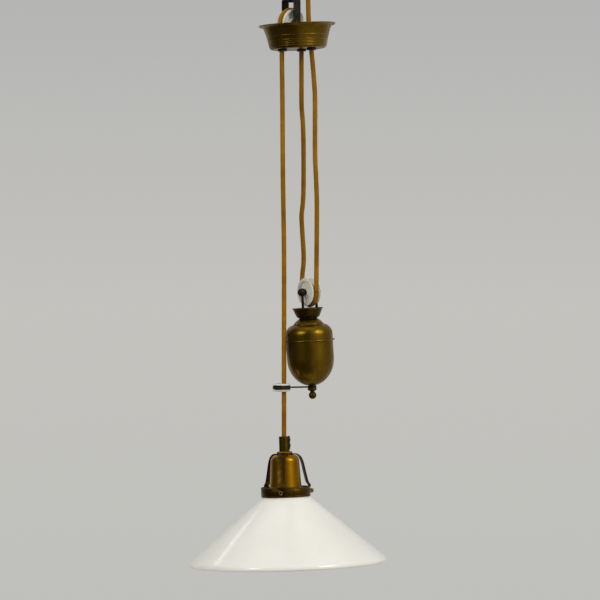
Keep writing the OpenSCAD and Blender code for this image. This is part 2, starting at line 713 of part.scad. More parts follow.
module socket_insert() {
    color(porcelain) lamp_frame() difference() {
        union() {
            translate([0, 0, insert_top - disc_t]) cylinder(d = insert_d, h = disc_t, $fn = 96);
            translate([0, 0, shell_low]) cylinder(d = shell_d + 4, h = insert_top - disc_t - shell_low + 1, $fn = 96);
        }
        translate([0, 0, shell_low - 1]) cylinder(d = shell_d + 2 * fit_gap, h = shell_top - shell_low + fit_gap + 1, $fn = 96);
        translate([0, 0, shell_top - 1]) cylinder(d = recess_d, h = insert_top - disc_t - shell_top + 1, $fn = 48);
        for (s = [-1, 1]) translate([s * clamp_x, 0, insert_top - 4]) cylinder(d = 7.4, h = 6, $fn = 48);
        translate([0, 0, insert_top - disc_t - 1]) cylinder(d = 2.2, h = disc_t + 2, $fn = 32);
    }
}

module screw_shell() {
    h = shell_top - shell_low;
    color(bright_brass) lamp_frame() translate([0, 0, shell_low]) difference() {
        cylinder(d = shell_d, h = h, $fn = 96);
        translate([0, 0, -1]) cylinder(d = socket_bore_d, h = h - 0.5 + 1, $fn = 96);
        translate([0, 0, -1]) cylinder(d = recess_d, h = h + 2, $fn = 48);
    }
}

module centre_contact() {
    color(bright_brass) lamp_frame() translate([0, 0, insert_top - disc_t]) union() {
        translate([0, 0, -contact_h / 2]) cylinder(d = 9, h = contact_h / 2, $fn = 48);
        translate([0, 0, -contact_h]) cylinder(d = 5, h = contact_h / 2 + 0.1, $fn = 48);
        cylinder(d = 2.1, h = disc_t + 1, $fn = 32);
    }
}

module terminal_clamps() {
    color(bright_brass) lamp_frame() for (s = [-1, 1]) translate([s * clamp_x, 0, insert_top - 4]) union() {
        cylinder(d = 6.6, h = 3.6, $fn = 48);
        cylinder(d = 3, h = 6, $fn = 32);
    }
}

module skirt_ring() {
    low_r = holder_low_d / 2 - holder_t - 0.2;
    color(bright_brass) lamp_frame() translate([0, 0, body_low - 0.6]) difference() {
        cylinder(r = low_r, h = 2, $fn = 96);
        translate([0, 0, -1]) cylinder(d = shell_d - 0.6, h = 2.95, $fn = 96);
        translate([0, 0, 1.9]) cylinder(d = shell_d + 4.4, h = 2, $fn = 96);
    }
}

// ---- gallery and shade ----

ring_top = body_low + 0.2;
ring_low = ring_top - ring_h;
ring_r = ring_d / 2;
screw_z = ring_top - ring_h / 2;

// A strap of even thickness along points in one plane
function strip_side(points, shift) = [for (i = [0:len(points) - 1])
    let (a = points[max(i - 1, 0)], b = points[min(i + 1, len(points) - 1)], d = (b - a) / norm(b - a))
    points[i] + shift * [-d[1], d[0]]];

module gallery_arm() {
    foot_r = ring_r + arm_t / 2 + fit_gap;
    top_r = holder_top_d / 2;
    flat_z = body_top + arm_t / 2 + fit_gap;
    line = [[flange_d / 2 + 0.3, flat_z], [top_r - 4.2, flat_z], [top_r - 0.6, body_top - 0.6],
        [top_r + 2.7, body_top - 3.7], [top_r + 5.6, body_top - 10.5], [foot_r - 5.9, ring_top + 18.3],
        [foot_r - 2.6, ring_top + 4.9], [foot_r - 0.7, ring_top + 2.4], [foot_r, ring_top + 0.6],
        [foot_r, ring_top - 2.8]];
    rotate([90, 0, 0]) translate([0, 0, -arm_w / 2]) linear_extrude(arm_w)
        polygon(concat(strip_side(line, arm_t / 2), reversed(strip_side(line, -arm_t / 2))));
}

module gallery_frame() {
    color(patina) lamp_frame() difference() {
        union() {
            translate([0, 0, body_top]) cylinder(d = flange_d + 3.3, h = arm_t, $fn = 64);
            for (a = arm_angles) round_lamp(a) gallery_arm();
        }
        translate([0, 0, body_top - 1]) cylinder(d = nipple_d + 2 * fit_gap, h = arm_t + 2, $fn = 64);
    }
}

module gallery_ring() {
    color(patina) lamp_frame() difference() {
        translate([0, 0, ring_low]) difference() {
            cylinder(r = ring_r, h = ring_h, $fn = 128);
            translate([0, 0, -1]) cylinder(r = ring_r - ring_t, h = ring_h + 2, $fn = 128);
        }
        for (a = arm_angles) round_lamp(a) translate([0, 0, screw_z]) along_x()
            cylinder(d = screw_d + 2 * run_gap, h = ring_d, $fn = 48);
    }
}

module gallery_screw(angle) {
    tip = collar_d / 2 + seat_gap;
    head_in = ring_r + 0.5;
    head_l = 5;
    color(patina) lamp_frame() round_lamp(angle) translate([0, 0, screw_z]) along_x() difference() {
        union() {
            translate([0, 0, tip]) cylinder(d = screw_d, h = head_in - tip + 1, $fn = 48);
            translate([0, 0, head_in]) cylinder(d = screw_head_d, h = head_l, $fn = 48);
        }
        translate([0, 0, head_in + head_l - 1.6]) cylinder(d = 2.4, h = 3, $fn = 32);
    }
}
module front_screw() { gallery_screw(arm_angles[0]); }
module right_screw() { gallery_screw(arm_angles[1]); }
module back_screw() { gallery_screw(arm_angles[2]); }

module shade() {
    collar_top = ring_top - 1.6;
    collar_r = collar_d / 2;
    neck_z = ring_low + (ring_r - ring_t - collar_r) * tan(shade_slope) - seat_gap; // the collar's foot
    rim_r = shade_d / 2;
    run = rim_r - 2.2 - collar_r;
    fall = run * tan(shade_slope);
    rim_z = neck_z - fall;
    slope = [cos(shade_slope), -sin(shade_slope)];
    across = [-sin(shade_slope), -cos(shade_slope)] * shade_t; // from the outside of the glass to the inside
    outside = [[collar_r, neck_z], [rim_r - 2.2, rim_z]];
    color(opal) lamp_frame() rotate_extrude($fn = 160) polygon(concat(
        [[collar_r - shade_t, collar_top], [collar_r, collar_top]],
        outside,
        [[rim_r - 0.5, rim_z - 1.8], [rim_r, rim_z - 3.6], [rim_r, rim_z - 5.4], [rim_r - 0.8, rim_z - 7.2],
         [rim_r - 2.4, rim_z - 8], [rim_r - 3.9, rim_z - 7.4]],
        [outside[1] + across - 1.2 * slope, [collar_r - shade_t, neck_z - shade_t]]));
}

hanger_eye();
pulley_bracket();
top_axle();
top_axle_nuts();
top_spacers();
supply_terminal();
terminal_screws();
supply_strand();
middle_strand();
lamp_strand();
top_wrap();
top_pulley();
ceiling_cup();
lamp_bush();
weight_bush();
supply_bush();
bush_nuts();
weight_fork();
weight_axle();
weight_axle_nut();
weight_spacers();
weight_wrap();
weight_pulley();
neck_cup();
rod_nuts();
collar_ring();
upper_shell();
seam_ring();
lower_shell();
iron_core();
weight_rod();
guide_arm();
guide_eyelet();
finial();
cord_grip();
grip_screws();
nipple();
flange_nut();
holder_body();
cord_end();
socket_insert();
screw_shell();
centre_contact();
terminal_clamps();
skirt_ring();
gallery_frame();
gallery_ring();
front_screw();
right_screw();
back_screw();
shade();
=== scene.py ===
# Rise and fall pendant: an opal glass shade and an egg-shaped counterweight on one silk cord.
# Metres, the same frame as the CAD: +Z up, +X to the right of the photograph, -Y towards the camera.
import bpy
import bmesh
import json
import math
from mathutils import Matrix, Vector, noise


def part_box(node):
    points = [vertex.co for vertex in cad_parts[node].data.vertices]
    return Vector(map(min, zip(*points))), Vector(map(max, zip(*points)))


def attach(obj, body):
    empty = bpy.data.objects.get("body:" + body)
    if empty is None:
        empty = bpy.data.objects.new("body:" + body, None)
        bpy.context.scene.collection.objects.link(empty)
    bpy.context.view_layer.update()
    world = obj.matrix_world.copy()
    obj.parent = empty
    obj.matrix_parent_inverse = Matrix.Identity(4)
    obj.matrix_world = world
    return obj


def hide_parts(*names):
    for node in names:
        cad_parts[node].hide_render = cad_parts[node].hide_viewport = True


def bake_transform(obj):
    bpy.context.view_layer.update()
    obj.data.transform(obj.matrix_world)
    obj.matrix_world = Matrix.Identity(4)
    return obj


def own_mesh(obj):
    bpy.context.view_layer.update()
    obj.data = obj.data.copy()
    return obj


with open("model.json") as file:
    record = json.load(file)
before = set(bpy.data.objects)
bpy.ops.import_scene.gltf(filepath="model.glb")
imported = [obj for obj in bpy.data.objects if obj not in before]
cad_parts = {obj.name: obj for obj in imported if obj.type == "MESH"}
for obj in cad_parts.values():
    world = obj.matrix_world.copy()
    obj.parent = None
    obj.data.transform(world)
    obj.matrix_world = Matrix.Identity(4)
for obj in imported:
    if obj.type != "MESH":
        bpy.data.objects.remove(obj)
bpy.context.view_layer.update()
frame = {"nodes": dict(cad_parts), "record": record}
scene = bpy.context.scene
mm = 0.001


# Camera

camera = {
    "place": (0.0113, -3.661, -0.293),
    "aim": (0.0113, 0.0, -0.395),
    "lens": 172.7,  # mm, on a 36 mm sensor
}
cameraData = bpy.data.cameras.new("camera")
cameraData.lens = camera["lens"]
cameraData.sensor_width = 36
cameraData.sensor_fit = "HORIZONTAL"
cameraObject = bpy.data.objects.new("camera", cameraData)
cameraObject.location = camera["place"]
look = Vector(camera["aim"]) - Vector(camera["place"])
cameraObject.rotation_euler = look.to_track_quat("-Z", "Y").to_euler()
scene.collection.objects.link(cameraObject)
scene.camera = cameraObject
print("camera placed")


# Colours, nodes and shapes

def hexColour(code):  # sRGB hex to linear
    parts = [int(code[i:i + 2], 16) / 255 for i in (1, 3, 5)]
    return [c / 12.92 if c <= 0.04045 else ((c + 0.055) / 1.055) ** 2.4 for c in parts] + [1.0]


# adds a node: links takes numbers, sockets or nodes by input, stops are a colour ramp's
def addNode(tree, kind, links=None, stops=None, **settings):
    node = tree.nodes.new(kind)
    for name, value in settings.items():
        setattr(node, name, value)
    for socket, source in (links or {}).items():
        if isinstance(source, bpy.types.Node):
            source = next(plug for plug in source.outputs if plug.enabled)
        if isinstance(source, bpy.types.NodeSocket):
            tree.links.new(source, node.inputs[socket])
        else:
            node.inputs[socket].default_value = source
    for i, (position, code) in enumerate(stops or []):
        ramp = node.color_ramp.elements
        element = ramp[i] if i < len(ramp) else ramp.new(position)
        element.position = position
        element.color = hexColour(code)
    return node


def mixHues(tree, share, hue, other):
    return addNode(tree, "ShaderNodeMix", {0: share, 6: hue, 7: other}, data_type="RGBA")


def spread(tree, value, low, high, outLow, outHigh):  # moves a range of values to another
    return addNode(tree, "ShaderNodeMapRange", {0: value, 1: low, 2: high, 3: outLow, 4: outHigh})


def cloudNoise(tree, where, sizeMm, detail, roughness=0.5):
    return addNode(tree, "ShaderNodeTexNoise", {"Vector": where, "Scale": 1000 / sizeMm, "Detail": detail,
                                                "Roughness": roughness})


def joinShader(tree, shader, hue, bump, rough=None):
    tree.links.new(hue.outputs[2], shader.inputs["Base Color"])
    tree.links.new(bump.outputs[0], shader.inputs["Normal"])
    if rough:
        tree.links.new(rough.outputs[0], shader.inputs["Roughness"])


# edges that stand proud, bare in patches of patchMm where the noise is between low and high
def wornEdges(tree, where, radiusMm, patchMm, low, high, least, most):
    soft = addNode(tree, "ShaderNodeBevel", {"Radius": radiusMm * mm}, samples=4)
    true = addNode(tree, "ShaderNodeNewGeometry")
    turn = addNode(tree, "ShaderNodeVectorMath", {0: soft, 1: true.outputs["Normal"]},
                   operation="DOT_PRODUCT")
    edge = spread(tree, turn.outputs["Value"], 0.995, 0.85, 0.0, 1.0)
    patch = spread(tree, cloudNoise(tree, where, patchMm, 3.0), low, high, least, most)
    return addNode(tree, "ShaderNodeMath", {0: edge, 1: patch}, operation="MULTIPLY", use_clamp=True)


def newMaterial(name, **sockets):
    material = bpy.data.materials.new(name)
    material.use_nodes = True
    tree = material.node_tree
    shader = tree.nodes["Principled BSDF"]
    for socket, value in sockets.items():
        shader.inputs[socket.replace("_", " ")].default_value = value
    return material, tree, shader


# a mesh as an object, smooth where its faces turn by less than the angle
def placed(name, mesh, place, angle=38):
    bmesh.ops.recalc_face_normals(mesh, faces=mesh.faces)
    for face in mesh.faces:
        face.smooth = True
    for edge in mesh.edges:
        edge.smooth = len(edge.link_faces) == 2 and edge.calc_face_angle(0) < math.radians(angle)
    data = bpy.data.meshes.new(name)
    mesh.to_mesh(data)
    mesh.free()
    piece = bpy.data.objects.new(name, data)
    piece.matrix_world = place
    scene.collection.objects.link(piece)
    return piece


# a turned or spun piece: a closed side of (radius, height) in mm, round place's Z axis.
# flutes cuts that many grooves, of a depth in mm, into the heights between low and high.
def turned(name, side, place, rounds=96, flutes=None, shape=None):
    mesh = bmesh.new()
    rings = []
    for r, z in side:
        ring = []
        for k in range(1 if r < 1e-4 else rounds):
            a = 2 * math.pi * k / rounds
            out = r
            if flutes and flutes["low"] < z < flutes["high"] and r > flutes["from"]:
                out -= flutes["depth"] * (0.5 - 0.5 * math.cos(a * flutes["count"]))
            if shape:
                out += shape(a, r, z)
            ring.append(mesh.verts.new((out * mm * math.cos(a), out * mm * math.sin(a), z * mm)))
        rings.append(ring * rounds if len(ring) == 1 else ring)
    for i in range(len(rings)):
        a, b = rings[i], rings[(i + 1) % len(rings)]
        for k in range(rounds):
            n = (k + 1) % rounds
            corners = []
            for corner in (a[k], a[n], b[n], b[k]):
                if corner not in corners:
                    corners.append(corner)
            if len(corners) > 2:
                mesh.faces.new(corners)
    return placed(name, mesh, place)


# rounds the corners of a side
def eased(side, radius, steps=3):
    out = []
    count = len(side)
    for i in range(count):
        p = Vector(side[i])
        a, b = Vector(side[i - 1]) - p, Vector(side[(i + 1) % count]) - p
        turn = math.pi - a.angle(b) if min(a.length, b.length) > 1e-6 and p.x > 1e-4 else 0
        if turn < math.radians(14):
            out.append(tuple(p))
            continue
        reach = min(radius * math.tan(turn / 2), 0.42 * a.length, 0.42 * b.length)
        first, last = p + a.normalized() * reach, p + b.normalized() * reach
        for s in range(steps + 1):
            t = s / steps
            out.append(tuple((1 - t) ** 2 * first + 2 * t * (1 - t) * p + t * t * last))
    return out


def arcPoints(middle, r, start, end, steps=8):
    turns = [math.radians(start + (end - start) * i / steps) for i in range(steps + 1)]
    return [(middle[0] + r * math.cos(a), middle[1] + r * math.sin(a)) for a in turns]


# more points along the long stretches of a side, so that hand-made unevenness shows
def refined(side, step):
    out = []
    for i, p in enumerate(side):
        q = side[(i + 1) % len(side)]
        pieces = max(1, round(math.dist(p, q) / step))
        out += [(p[0] + (q[0] - p[0]) * s / pieces, p[1] + (q[1] - p[1]) * s / pieces) for s in range(pieces)]
    return out


# hand-made unevenness and small dents, in mm, over the whole piece
def uneven(amount, size, seed):
    def shape(a, r, z):
        where = Vector((r * math.cos(a), r * math.sin(a), z)) / size
        return amount * noise.noise(where + Vector((seed, 0, 0)))
    return shape


# a CAD node's shape with its edges broken, as a file or years of use leave them. The piece has the
# node's name in camelCase.
def softenedCopy(node, body, slotName, width, segments=2, finish=None):
    mesh = bmesh.new()
    mesh.from_mesh(frame["nodes"][node].data)
    bmesh.ops.remove_doubles(mesh, verts=mesh.verts, dist=2e-6)
    bmesh.ops.dissolve_limit(mesh, angle_limit=math.radians(1.5), verts=mesh.verts, edges=mesh.edges)
    first, *rest = node.split("_")
    piece = placed(first + "".join(word.capitalize() for word in rest), mesh, Matrix.Identity(4))
    bevel = piece.modifiers.new("brokenEdges", "BEVEL")
    bevel.width = width * mm
    bevel.segments = segments
    bevel.limit_method = "ANGLE"
    bevel.angle_limit = math.radians(32)
    bevel.harden_normals = True
    return finishPiece(piece, body, slotName, node, finish=finish)


def finishPiece(piece, body, slotName, *nodes, finish=None):
    piece.data.materials.append(finishes[finish or slotName])
    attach(piece, body)
    if nodes:
        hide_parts(*nodes)
    return piece


def turnedPlace(x, y, z, lean=0.0):
    return Matrix.Translation(Vector((x, y, z)) * mm) @ Matrix.Rotation(math.radians(-lean), 4, "Y")


cupPlace = turnedPlace(9, -1, -76.5, 2.8)
weightPlace = turnedPlace(20.9, 1.5, -405.1, 3.3)
lampPlace = turnedPlace(-9, -11.1, -568, 1.8) @ Matrix.Rotation(math.radians(-2.4), 4, "X")
topPlace = turnedPlace(0, 0, -44.5) @ Matrix.Rotation(math.radians(-50.5), 4, "Z")
forkPlace = (weightPlace @ Matrix.Translation(Vector((3, 0, 20.2)) * mm)
             @ Matrix.Rotation(math.radians(214), 4, "Z"))
alongX = Matrix.Rotation(math.radians(90), 4, "Y")


def roundLamp(angle):  # the X axis turned to an angle from the front
    return lampPlace @ Matrix.Rotation(math.radians(angle - 90), 4, "Z")


# Materials

# Braided artificial silk over rubber: crossing strands with a soft sheen, painted shade darkening the gaps
# between them, worn pale along the tops. 24 threads a turn at a pitch of 14 mm, about 0.8 mm wide each.
silkFinish = {"deep": "#543403", "tops": [(0.3, "#855804"), (0.5, "#a06e08"), (0.72, "#b98412")],
              "pale": "#b8841a", "threads": 12, "pitchMm": 14.0, "fadeMm": 24, "fibreMm": 0.5}


def goldSilkBraid(values):
    material, tree, shader = newMaterial("goldSilkBraid", Roughness=0.6, Sheen_Weight=0.06,
                                         Sheen_Roughness=0.4, Specular_IOR_Level=0.06)
    shader.inputs["Sheen Tint"].default_value = hexColour("#d09a30")
    where = addNode(tree, "ShaderNodeTexCoord")
    parts = addNode(tree, "ShaderNodeSeparateXYZ", {0: where.outputs["UV"]})
    waves = []
    for way in (1, -1):
        turn = addNode(tree, "ShaderNodeMath", {0: parts.outputs["X"], 1: way * 1000 / values["pitchMm"],
                                                2: parts.outputs["Y"]}, operation="MULTIPLY_ADD")
        angle = addNode(tree, "ShaderNodeMath", {0: turn, 1: 2 * math.pi * values["threads"]},
                        operation="MULTIPLY")
        waves.append(addNode(tree, "ShaderNodeMath", {0: angle}, operation="SINE"))
    cross = addNode(tree, "ShaderNodeMath", {0: waves[0], 1: waves[1]}, operation="MULTIPLY")
    lift = spread(tree, cross, -1.0, 1.0, 0.0, 1.0)
    fade = cloudNoise(tree, where.outputs["Object"], values["fadeMm"], 3.0)
    tops = addNode(tree, "ShaderNodeValToRGB", {0: fade}, values["tops"])
    # painted shade: the low parts of the weave take the deep colour
    woven = mixHues(tree, lift, hexColour(values["deep"]), tops)
    fibre = cloudNoise(tree, where.outputs["Object"], values["fibreMm"], 2.0)
    rubbed = spread(tree, fibre, 0.35, 0.8, 0.0, 0.35)
    hue = mixHues(tree, rubbed, woven, hexColour(values["pale"]))
    bump = addNode(tree, "ShaderNodeBump", {"Height": lift, "Strength": 0.5, "Distance": 0.25 * mm})
    joinShader(tree, shader, hue, bump)
    return material


# Spun sheet brass under a century of patina: the metal's own sheen, cloudy oxide, turned marks round the
# axis, and brighter metal where hands and cloths have rubbed the edges. Hollows and corners are darkened
# by an occlusion mask, painted shade with some grime.
patinaFinish = {"name": "patinatedBrass", "hues": [(0.32, "#57400c"), (0.5, "#765c15"), (0.68, "#8f7434")],
                "edge": "#c4a55e", "grime": "#120d04", "rough": (0.42, 0.26), "marks": 0.3, "cloudMm": 24}
darkFinish = {"name": "darkenedBrass", "hues": [(0.32, "#3c300c"), (0.5, "#544413"), (0.68, "#6c5a20")],
              "edge": "#9a8450", "grime": "#100c04", "rough": (0.5, 0.34), "marks": 0.3, "cloudMm": 18}
screwFinish = {"name": "rubbedBrass", "hues": [(0.32, "#7a6436"), (0.5, "#a08a58"), (0.68, "#c0ac78")],
               "edge": "#e0d0a0", "grime": "#0c0903", "rough": (0.42, 0.3), "marks": 0.1, "cloudMm": 6}
galleryFinish = {"name": "brownedBrass", "hues": [(0.32, "#33230a"), (0.5, "#4c360f"), (0.68, "#6e511d")],
                 "edge": "#b08a45", "grime": "#120c04", "rough": (0.5, 0.32), "marks": 0.25, "cloudMm": 14}
holderFinish = {"name": "lacqueredBrass", "hues": [(0.3, "#8c6208"), (0.5, "#a4760e"), (0.7, "#b88c22")],
                "edge": "#dcb45c", "grime": "#2a1a05", "rough": (0.4, 0.27), "marks": 0.15, "cloudMm": 30}


def agedBrass(values):
    material, tree, shader = newMaterial(values["name"], Metallic=1.0)
    where = addNode(tree, "ShaderNodeTexCoord").outputs["Object"]
    cloud = cloudNoise(tree, where, values["cloudMm"], 5.0, 0.6)
    fine = cloudNoise(tree, where, 2.2, 4.0, 0.65)  # spots of about 2 mm
    blend = addNode(tree, "ShaderNodeMix", {0: 0.32, 2: cloud, 3: fine})
    hue = addNode(tree, "ShaderNodeValToRGB", {0: blend}, values["hues"])
    worn = wornEdges(tree, where, 0.5, 6, 0.42, 0.62, 0.25, 1.0)
    bright = mixHues(tree, worn, hue, hexColour(values["edge"]))
    # painted shade: an occlusion mask darkens hollows and corners towards the grime-and-shade hue
    hollow = addNode(tree, "ShaderNodeAmbientOcclusion", {"Distance": 5 * mm}, samples=6)
    paintedShade = spread(tree, hollow.outputs["AO"], 0.8, 0.35, 0.0, 0.85)
    mixed = mixHues(tree, paintedShade, bright.outputs[2], hexColour(values["grime"]))
    dull = spread(tree, blend, 0.38, 0.62, values["rough"][0], values["rough"][1])
    long = addNode(tree, "ShaderNodeMapping", {"Vector": where, "Scale": (1, 1, 20)})
    marks = cloudNoise(tree, long, 6, 2.0)
    rings = addNode(tree, "ShaderNodeBump", {"Height": marks, "Strength": values["marks"],
                                             "Distance": 0.05 * mm})  # tool lines about 0.3 mm apart
    pits = addNode(tree, "ShaderNodeBump", {"Height": fine, "Strength": values["marks"] * 0.6,
                                            "Distance": 0.08 * mm, "Normal": rings})
    joinShader(tree, shader, mixed, pits, dull)
    return material


# Hard-paste porcelain under a clear glaze: glossy and faintly cloudy, with brown specks, and painted shade
# that darkens its hollows.
porcelainFinish = {"name": "whitePorcelain", "hues": [(0.3, "#c9c6ba"), (0.7, "#dedbd0")],
                   "grime": "#6b5d45", "dirt": 0.4}
bushFinish = {"name": "blackGlaze", "hues": [(0.3, "#151311"), (0.7, "#241f1b")],
              "grime": "#0b0a09", "dirt": 0.5}


def glazedPorcelain(values):
    material, tree, shader = newMaterial(values["name"], Roughness=0.16, IOR=1.52, Coat_Weight=0.25,
                                         Coat_Roughness=0.08)
    where = addNode(tree, "ShaderNodeTexCoord").outputs["Object"]
    cloud = cloudNoise(tree, where, 12, 4.0)
    hue = addNode(tree, "ShaderNodeValToRGB", {0: cloud}, values["hues"])
    speck = cloudNoise(tree, where, 1.1, 3.0)
    spots = spread(tree, speck, 0.62, 0.72, 0.0, 0.5)
    # painted shade: an occlusion mask darkens hollows and recesses, mixed in with the brown specks
    hollow = addNode(tree, "ShaderNodeAmbientOcclusion", {"Distance": 2 * mm}, samples=6)
    paintedShade = spread(tree, hollow.outputs["AO"], 0.85, 0.3, 0.0, values["dirt"])
    specksAndShade = addNode(tree, "ShaderNodeMath", {0: spots, 1: paintedShade}, operation="MAXIMUM", use_clamp=True)
    mixed = mixHues(tree, specksAndShade, hue, hexColour(values["grime"]))
    wavy = cloudNoise(tree, where, 5, 2.0)
    bump = addNode(tree, "ShaderNodeBump", {"Height": wavy, "Strength": 0.12, "Distance": 0.2 * mm})
    joinShader(tree, shader, mixed, bump)
    return material


# Wrought iron strap and bolts, once black lacquered: rough and nearly black, bare on the rubbed edges.
ironFinish = {"name": "blackenedIron", "hues": [(0.3, "#171310"), (0.5, "#26201a"), (0.7, "#3a2f26")],
              "edge": "#857b70", "rough": 0.48}
coreFinish = {"name": "sandCastIron", "hues": [(0.3, "#2a2522"), (0.7, "#4a423b")],
              "edge": "#6b645c", "rough": 0.65}


def forgedIron(values):
    material, tree, shader = newMaterial(values["name"], Metallic=0.8)
    where = addNode(tree, "ShaderNodeTexCoord").outputs["Object"]
    skin = cloudNoise(tree, where, 5, 6.0, 0.7)
    hue = addNode(tree, "ShaderNodeValToRGB", {0: skin}, values["hues"])
    worn = wornEdges(tree, where, 0.6, 3, 0.45, 0.6, 0.1, 0.9)
    mixed = mixHues(tree, worn, hue, hexColour(values["edge"]))
    dull = spread(tree, skin, 0.3, 0.7, values["rough"] + 0.12, values["rough"] - 0.1)
    grain = cloudNoise(tree, where, 1.2, 4.0)
    bump = addNode(tree, "ShaderNodeBump", {"Height": grain, "Strength": 0.35, "Distance": 0.15 * mm})
    joinShader(tree, shader, mixed, bump, dull)
    return material


# Blown opal glass, white right through: a glossy skin, light that spreads inside it, seed bubbles of about
# 1 mm, and a thickness that is never quite even.
opalFinish = {"hues": [(0.3, "#e7e6df"), (0.7, "#f0efe8")], "seed": "#a8a290", "cloudMm": 90, "seedMm": 34}


def opalGlass(values):
    material, tree, shader = newMaterial("opalGlass", Roughness=0.17, IOR=1.52, Subsurface_Weight=0.3,
                                         Subsurface_Scale=0.004)
    shader.inputs["Subsurface Radius"].default_value = (1.0, 0.9, 0.75)
    where = addNode(tree, "ShaderNodeTexCoord").outputs["Object"]
    cloud = cloudNoise(tree, where, values["cloudMm"], 3.0)
    hue = addNode(tree, "ShaderNodeValToRGB", {0: cloud}, values["hues"])
    seeds = addNode(tree, "ShaderNodeTexVoronoi", {"Vector": where, "Scale": 1000 / values["seedMm"]})
    dots = spread(tree, seeds, 0.014, 0.022, 0.35, 0.0)
    mixed = mixHues(tree, dots, hue, hexColour(values["seed"]))
    wavy = cloudNoise(tree, where, 28, 2.0)
    bump = addNode(tree, "ShaderNodeBump", {"Height": wavy, "Strength": 0.05, "Distance": 0.6 * mm})
    joinShader(tree, shader, mixed, bump)
    return material


finishes = {
    "silk_cord": goldSilkBraid(silkFinish),
    "patinated_brass": agedBrass(patinaFinish),
    "gallery_brass": agedBrass(galleryFinish),
    "polished_brass": agedBrass(holderFinish),
    "dark_brass": agedBrass(darkFinish),
    "rubbed_brass": agedBrass(screwFinish),
    "porcelain": glazedPorcelain(porcelainFinish),
    "black_glazed_bush": glazedPorcelain(bushFinish),
    "black_iron": forgedIron(ironFinish),
    "weight_iron": forgedIron(coreFinish),
    "opal_glass": opalGlass(opalFinish),
}
slotOf = {row["node"]: row["material_slot"] for row in frame["record"]["subparts"]}
for nodeName, nodeObject in frame["nodes"].items():
    nodeObject.data.materials.clear()
    nodeObject.data.materials.append(finishes[slotOf[nodeName]])
print("materials made")


# The cord

cordValues = {
    "radius": 3.08,  # to the tops of the braid
    "ringStep": 1.25,  # mm between rings along the cord
    "sides": 24,
    "braidDepth": 0.16,  # mm, how far the braid's strands stand proud
    "braidPitch": 14.0,  # mm along the cord for one turn of a strand
    "strands": 6,
    "supply": [(31.944, -12.181, -383.73), (32.7, -9.8, -273), (31.7, -9.4, -242), (30.4, -9, -212),
               (30.2, -8.6, -136), (28.9, -8.3, -115), (27.3, -8.1, -95), (25.7, -8, -78),
               (25.2, -7.8, -66), (22.4, -6.4, -42), (21.4, -4, -4)],
    "middle": [(13.52, 15.181, -384.79), (14.42, 14.78, -361.99), (15.82, 14.58, -348.99),
               (15.82, 14.38, -333.99), (13.9, 14, -303), (13.3, 13.8, -288), (15.1, 13.6, -270),
               (15.8, 13.4, -250), (15.8, 12.8, -204), (15, 12, -170), (13.4, 11.4, -150),
               (13.2, 10.7, -112), (13.2, 10.6, -70), (13.5, 11.1, -44.8)],
    "lamp": [(-9, -11.1, -574), (-9, -11.1, -450), (-9, -11.1, -330), (-10.3, -11.1, -242),
             (-10.9, -11.1, -150), (-11.6, -11.1, -90), (-11.9, -11.1, -68), (-13.5, -11.1, -44.8)],
    "weightTravel": 250.2,
    "split": -113,  # below the cup's lowest place; each strand is cut in two here
    "tail": 41, "tailKeep": 0.25,
}


# a rounded line through points, in mm, at even steps
def smoothLine(points, step):
    line = []
    last = len(points) - 1
    for i in range(last):
        before, here, there, after = [Vector(points[min(max(i + k, 0), last)]) for k in (-1, 0, 1, 2)]
        length = (there - here).length
        leave, arrive = (there - before).normalized() * length, (after - here).normalized() * length
        pieces = max(1, round(length / step))
        for t in [k / pieces for k in range(pieces)]:
            line.append(here * (2 * t ** 3 - 3 * t * t + 1) + leave * (t ** 3 - 2 * t * t + t)
                        + there * (3 * t * t - 2 * t ** 3) + arrive * (t ** 3 - t * t))
    return line + [Vector(points[-1])]


# cord along a line in mm, with its braid in the mesh and the way along it in the UV map
def braidedTube(name, line, radius, place=None, sides=None, depth=None):
    sides = sides or cordValues["sides"]
    depth = cordValues["braidDepth"] if depth is None else depth
    mesh = bmesh.new()
    uv = mesh.loops.layers.uv.new("along")
    rings, along = [], [0.0]
    for here, there in zip(line, line[1:]):
        along.append(along[-1] + (there - here).length)
    normal = (line[1] - line[0]).orthogonal()
    for i, point in enumerate(line):
        ahead = (line[min(i + 1, len(line) - 1)] - line[max(i - 1, 0)]).normalized()
        normal = (normal - ahead * normal.dot(ahead)).normalized()
        side = ahead.cross(normal)
        turn = 2 * math.pi * along[i] / cordValues["braidPitch"]
        ring = []
        for a in [2 * math.pi * k / sides for k in range(sides)]:
            lift = (math.cos(cordValues["strands"] * (a + turn))
                    * math.cos(cordValues["strands"] * (a - turn)))
            r = radius - depth * (0.5 - 0.5 * lift)
            ring.append(mesh.verts.new((point + (normal * math.cos(a) + side * math.sin(a)) * r) * mm))
        rings.append(ring)
    for i in range(len(rings) - 1):
        for k in range(sides):
            n = (k + 1) % sides
            face = mesh.faces.new((rings[i][k], rings[i][n], rings[i + 1][n], rings[i + 1][k]))
            for loop, (row, column) in zip(face.loops, ((i, k), (i, k + 1), (i + 1, k + 1), (i + 1, k))):
                loop[uv].uv = (along[row] * mm, column / sides)
    mesh.faces.new(reversed(rings[0]))
    mesh.faces.new(rings[-1])
    return placed(name, mesh, place or Matrix.Identity(4), 60)


strandLines = {key: smoothLine(cordValues[key], cordValues["ringStep"])
               for key in ("supply", "middle", "lamp")}
for key, body in (("supply", "supply_strand"), ("middle", "middle_strand")):
    lower = [p for p in strandLines[key] if p.z < cordValues["split"]]
    upper = strandLines[key][len(lower) - 1:]
    finishPiece(braidedTube(key + "CordUpper", upper, cordValues["radius"]), "root", "silk_cord")
    strand = finishPiece(braidedTube(key + "Cord", lower, cordValues["radius"]), "root", "silk_cord", body)
    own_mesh(strand)

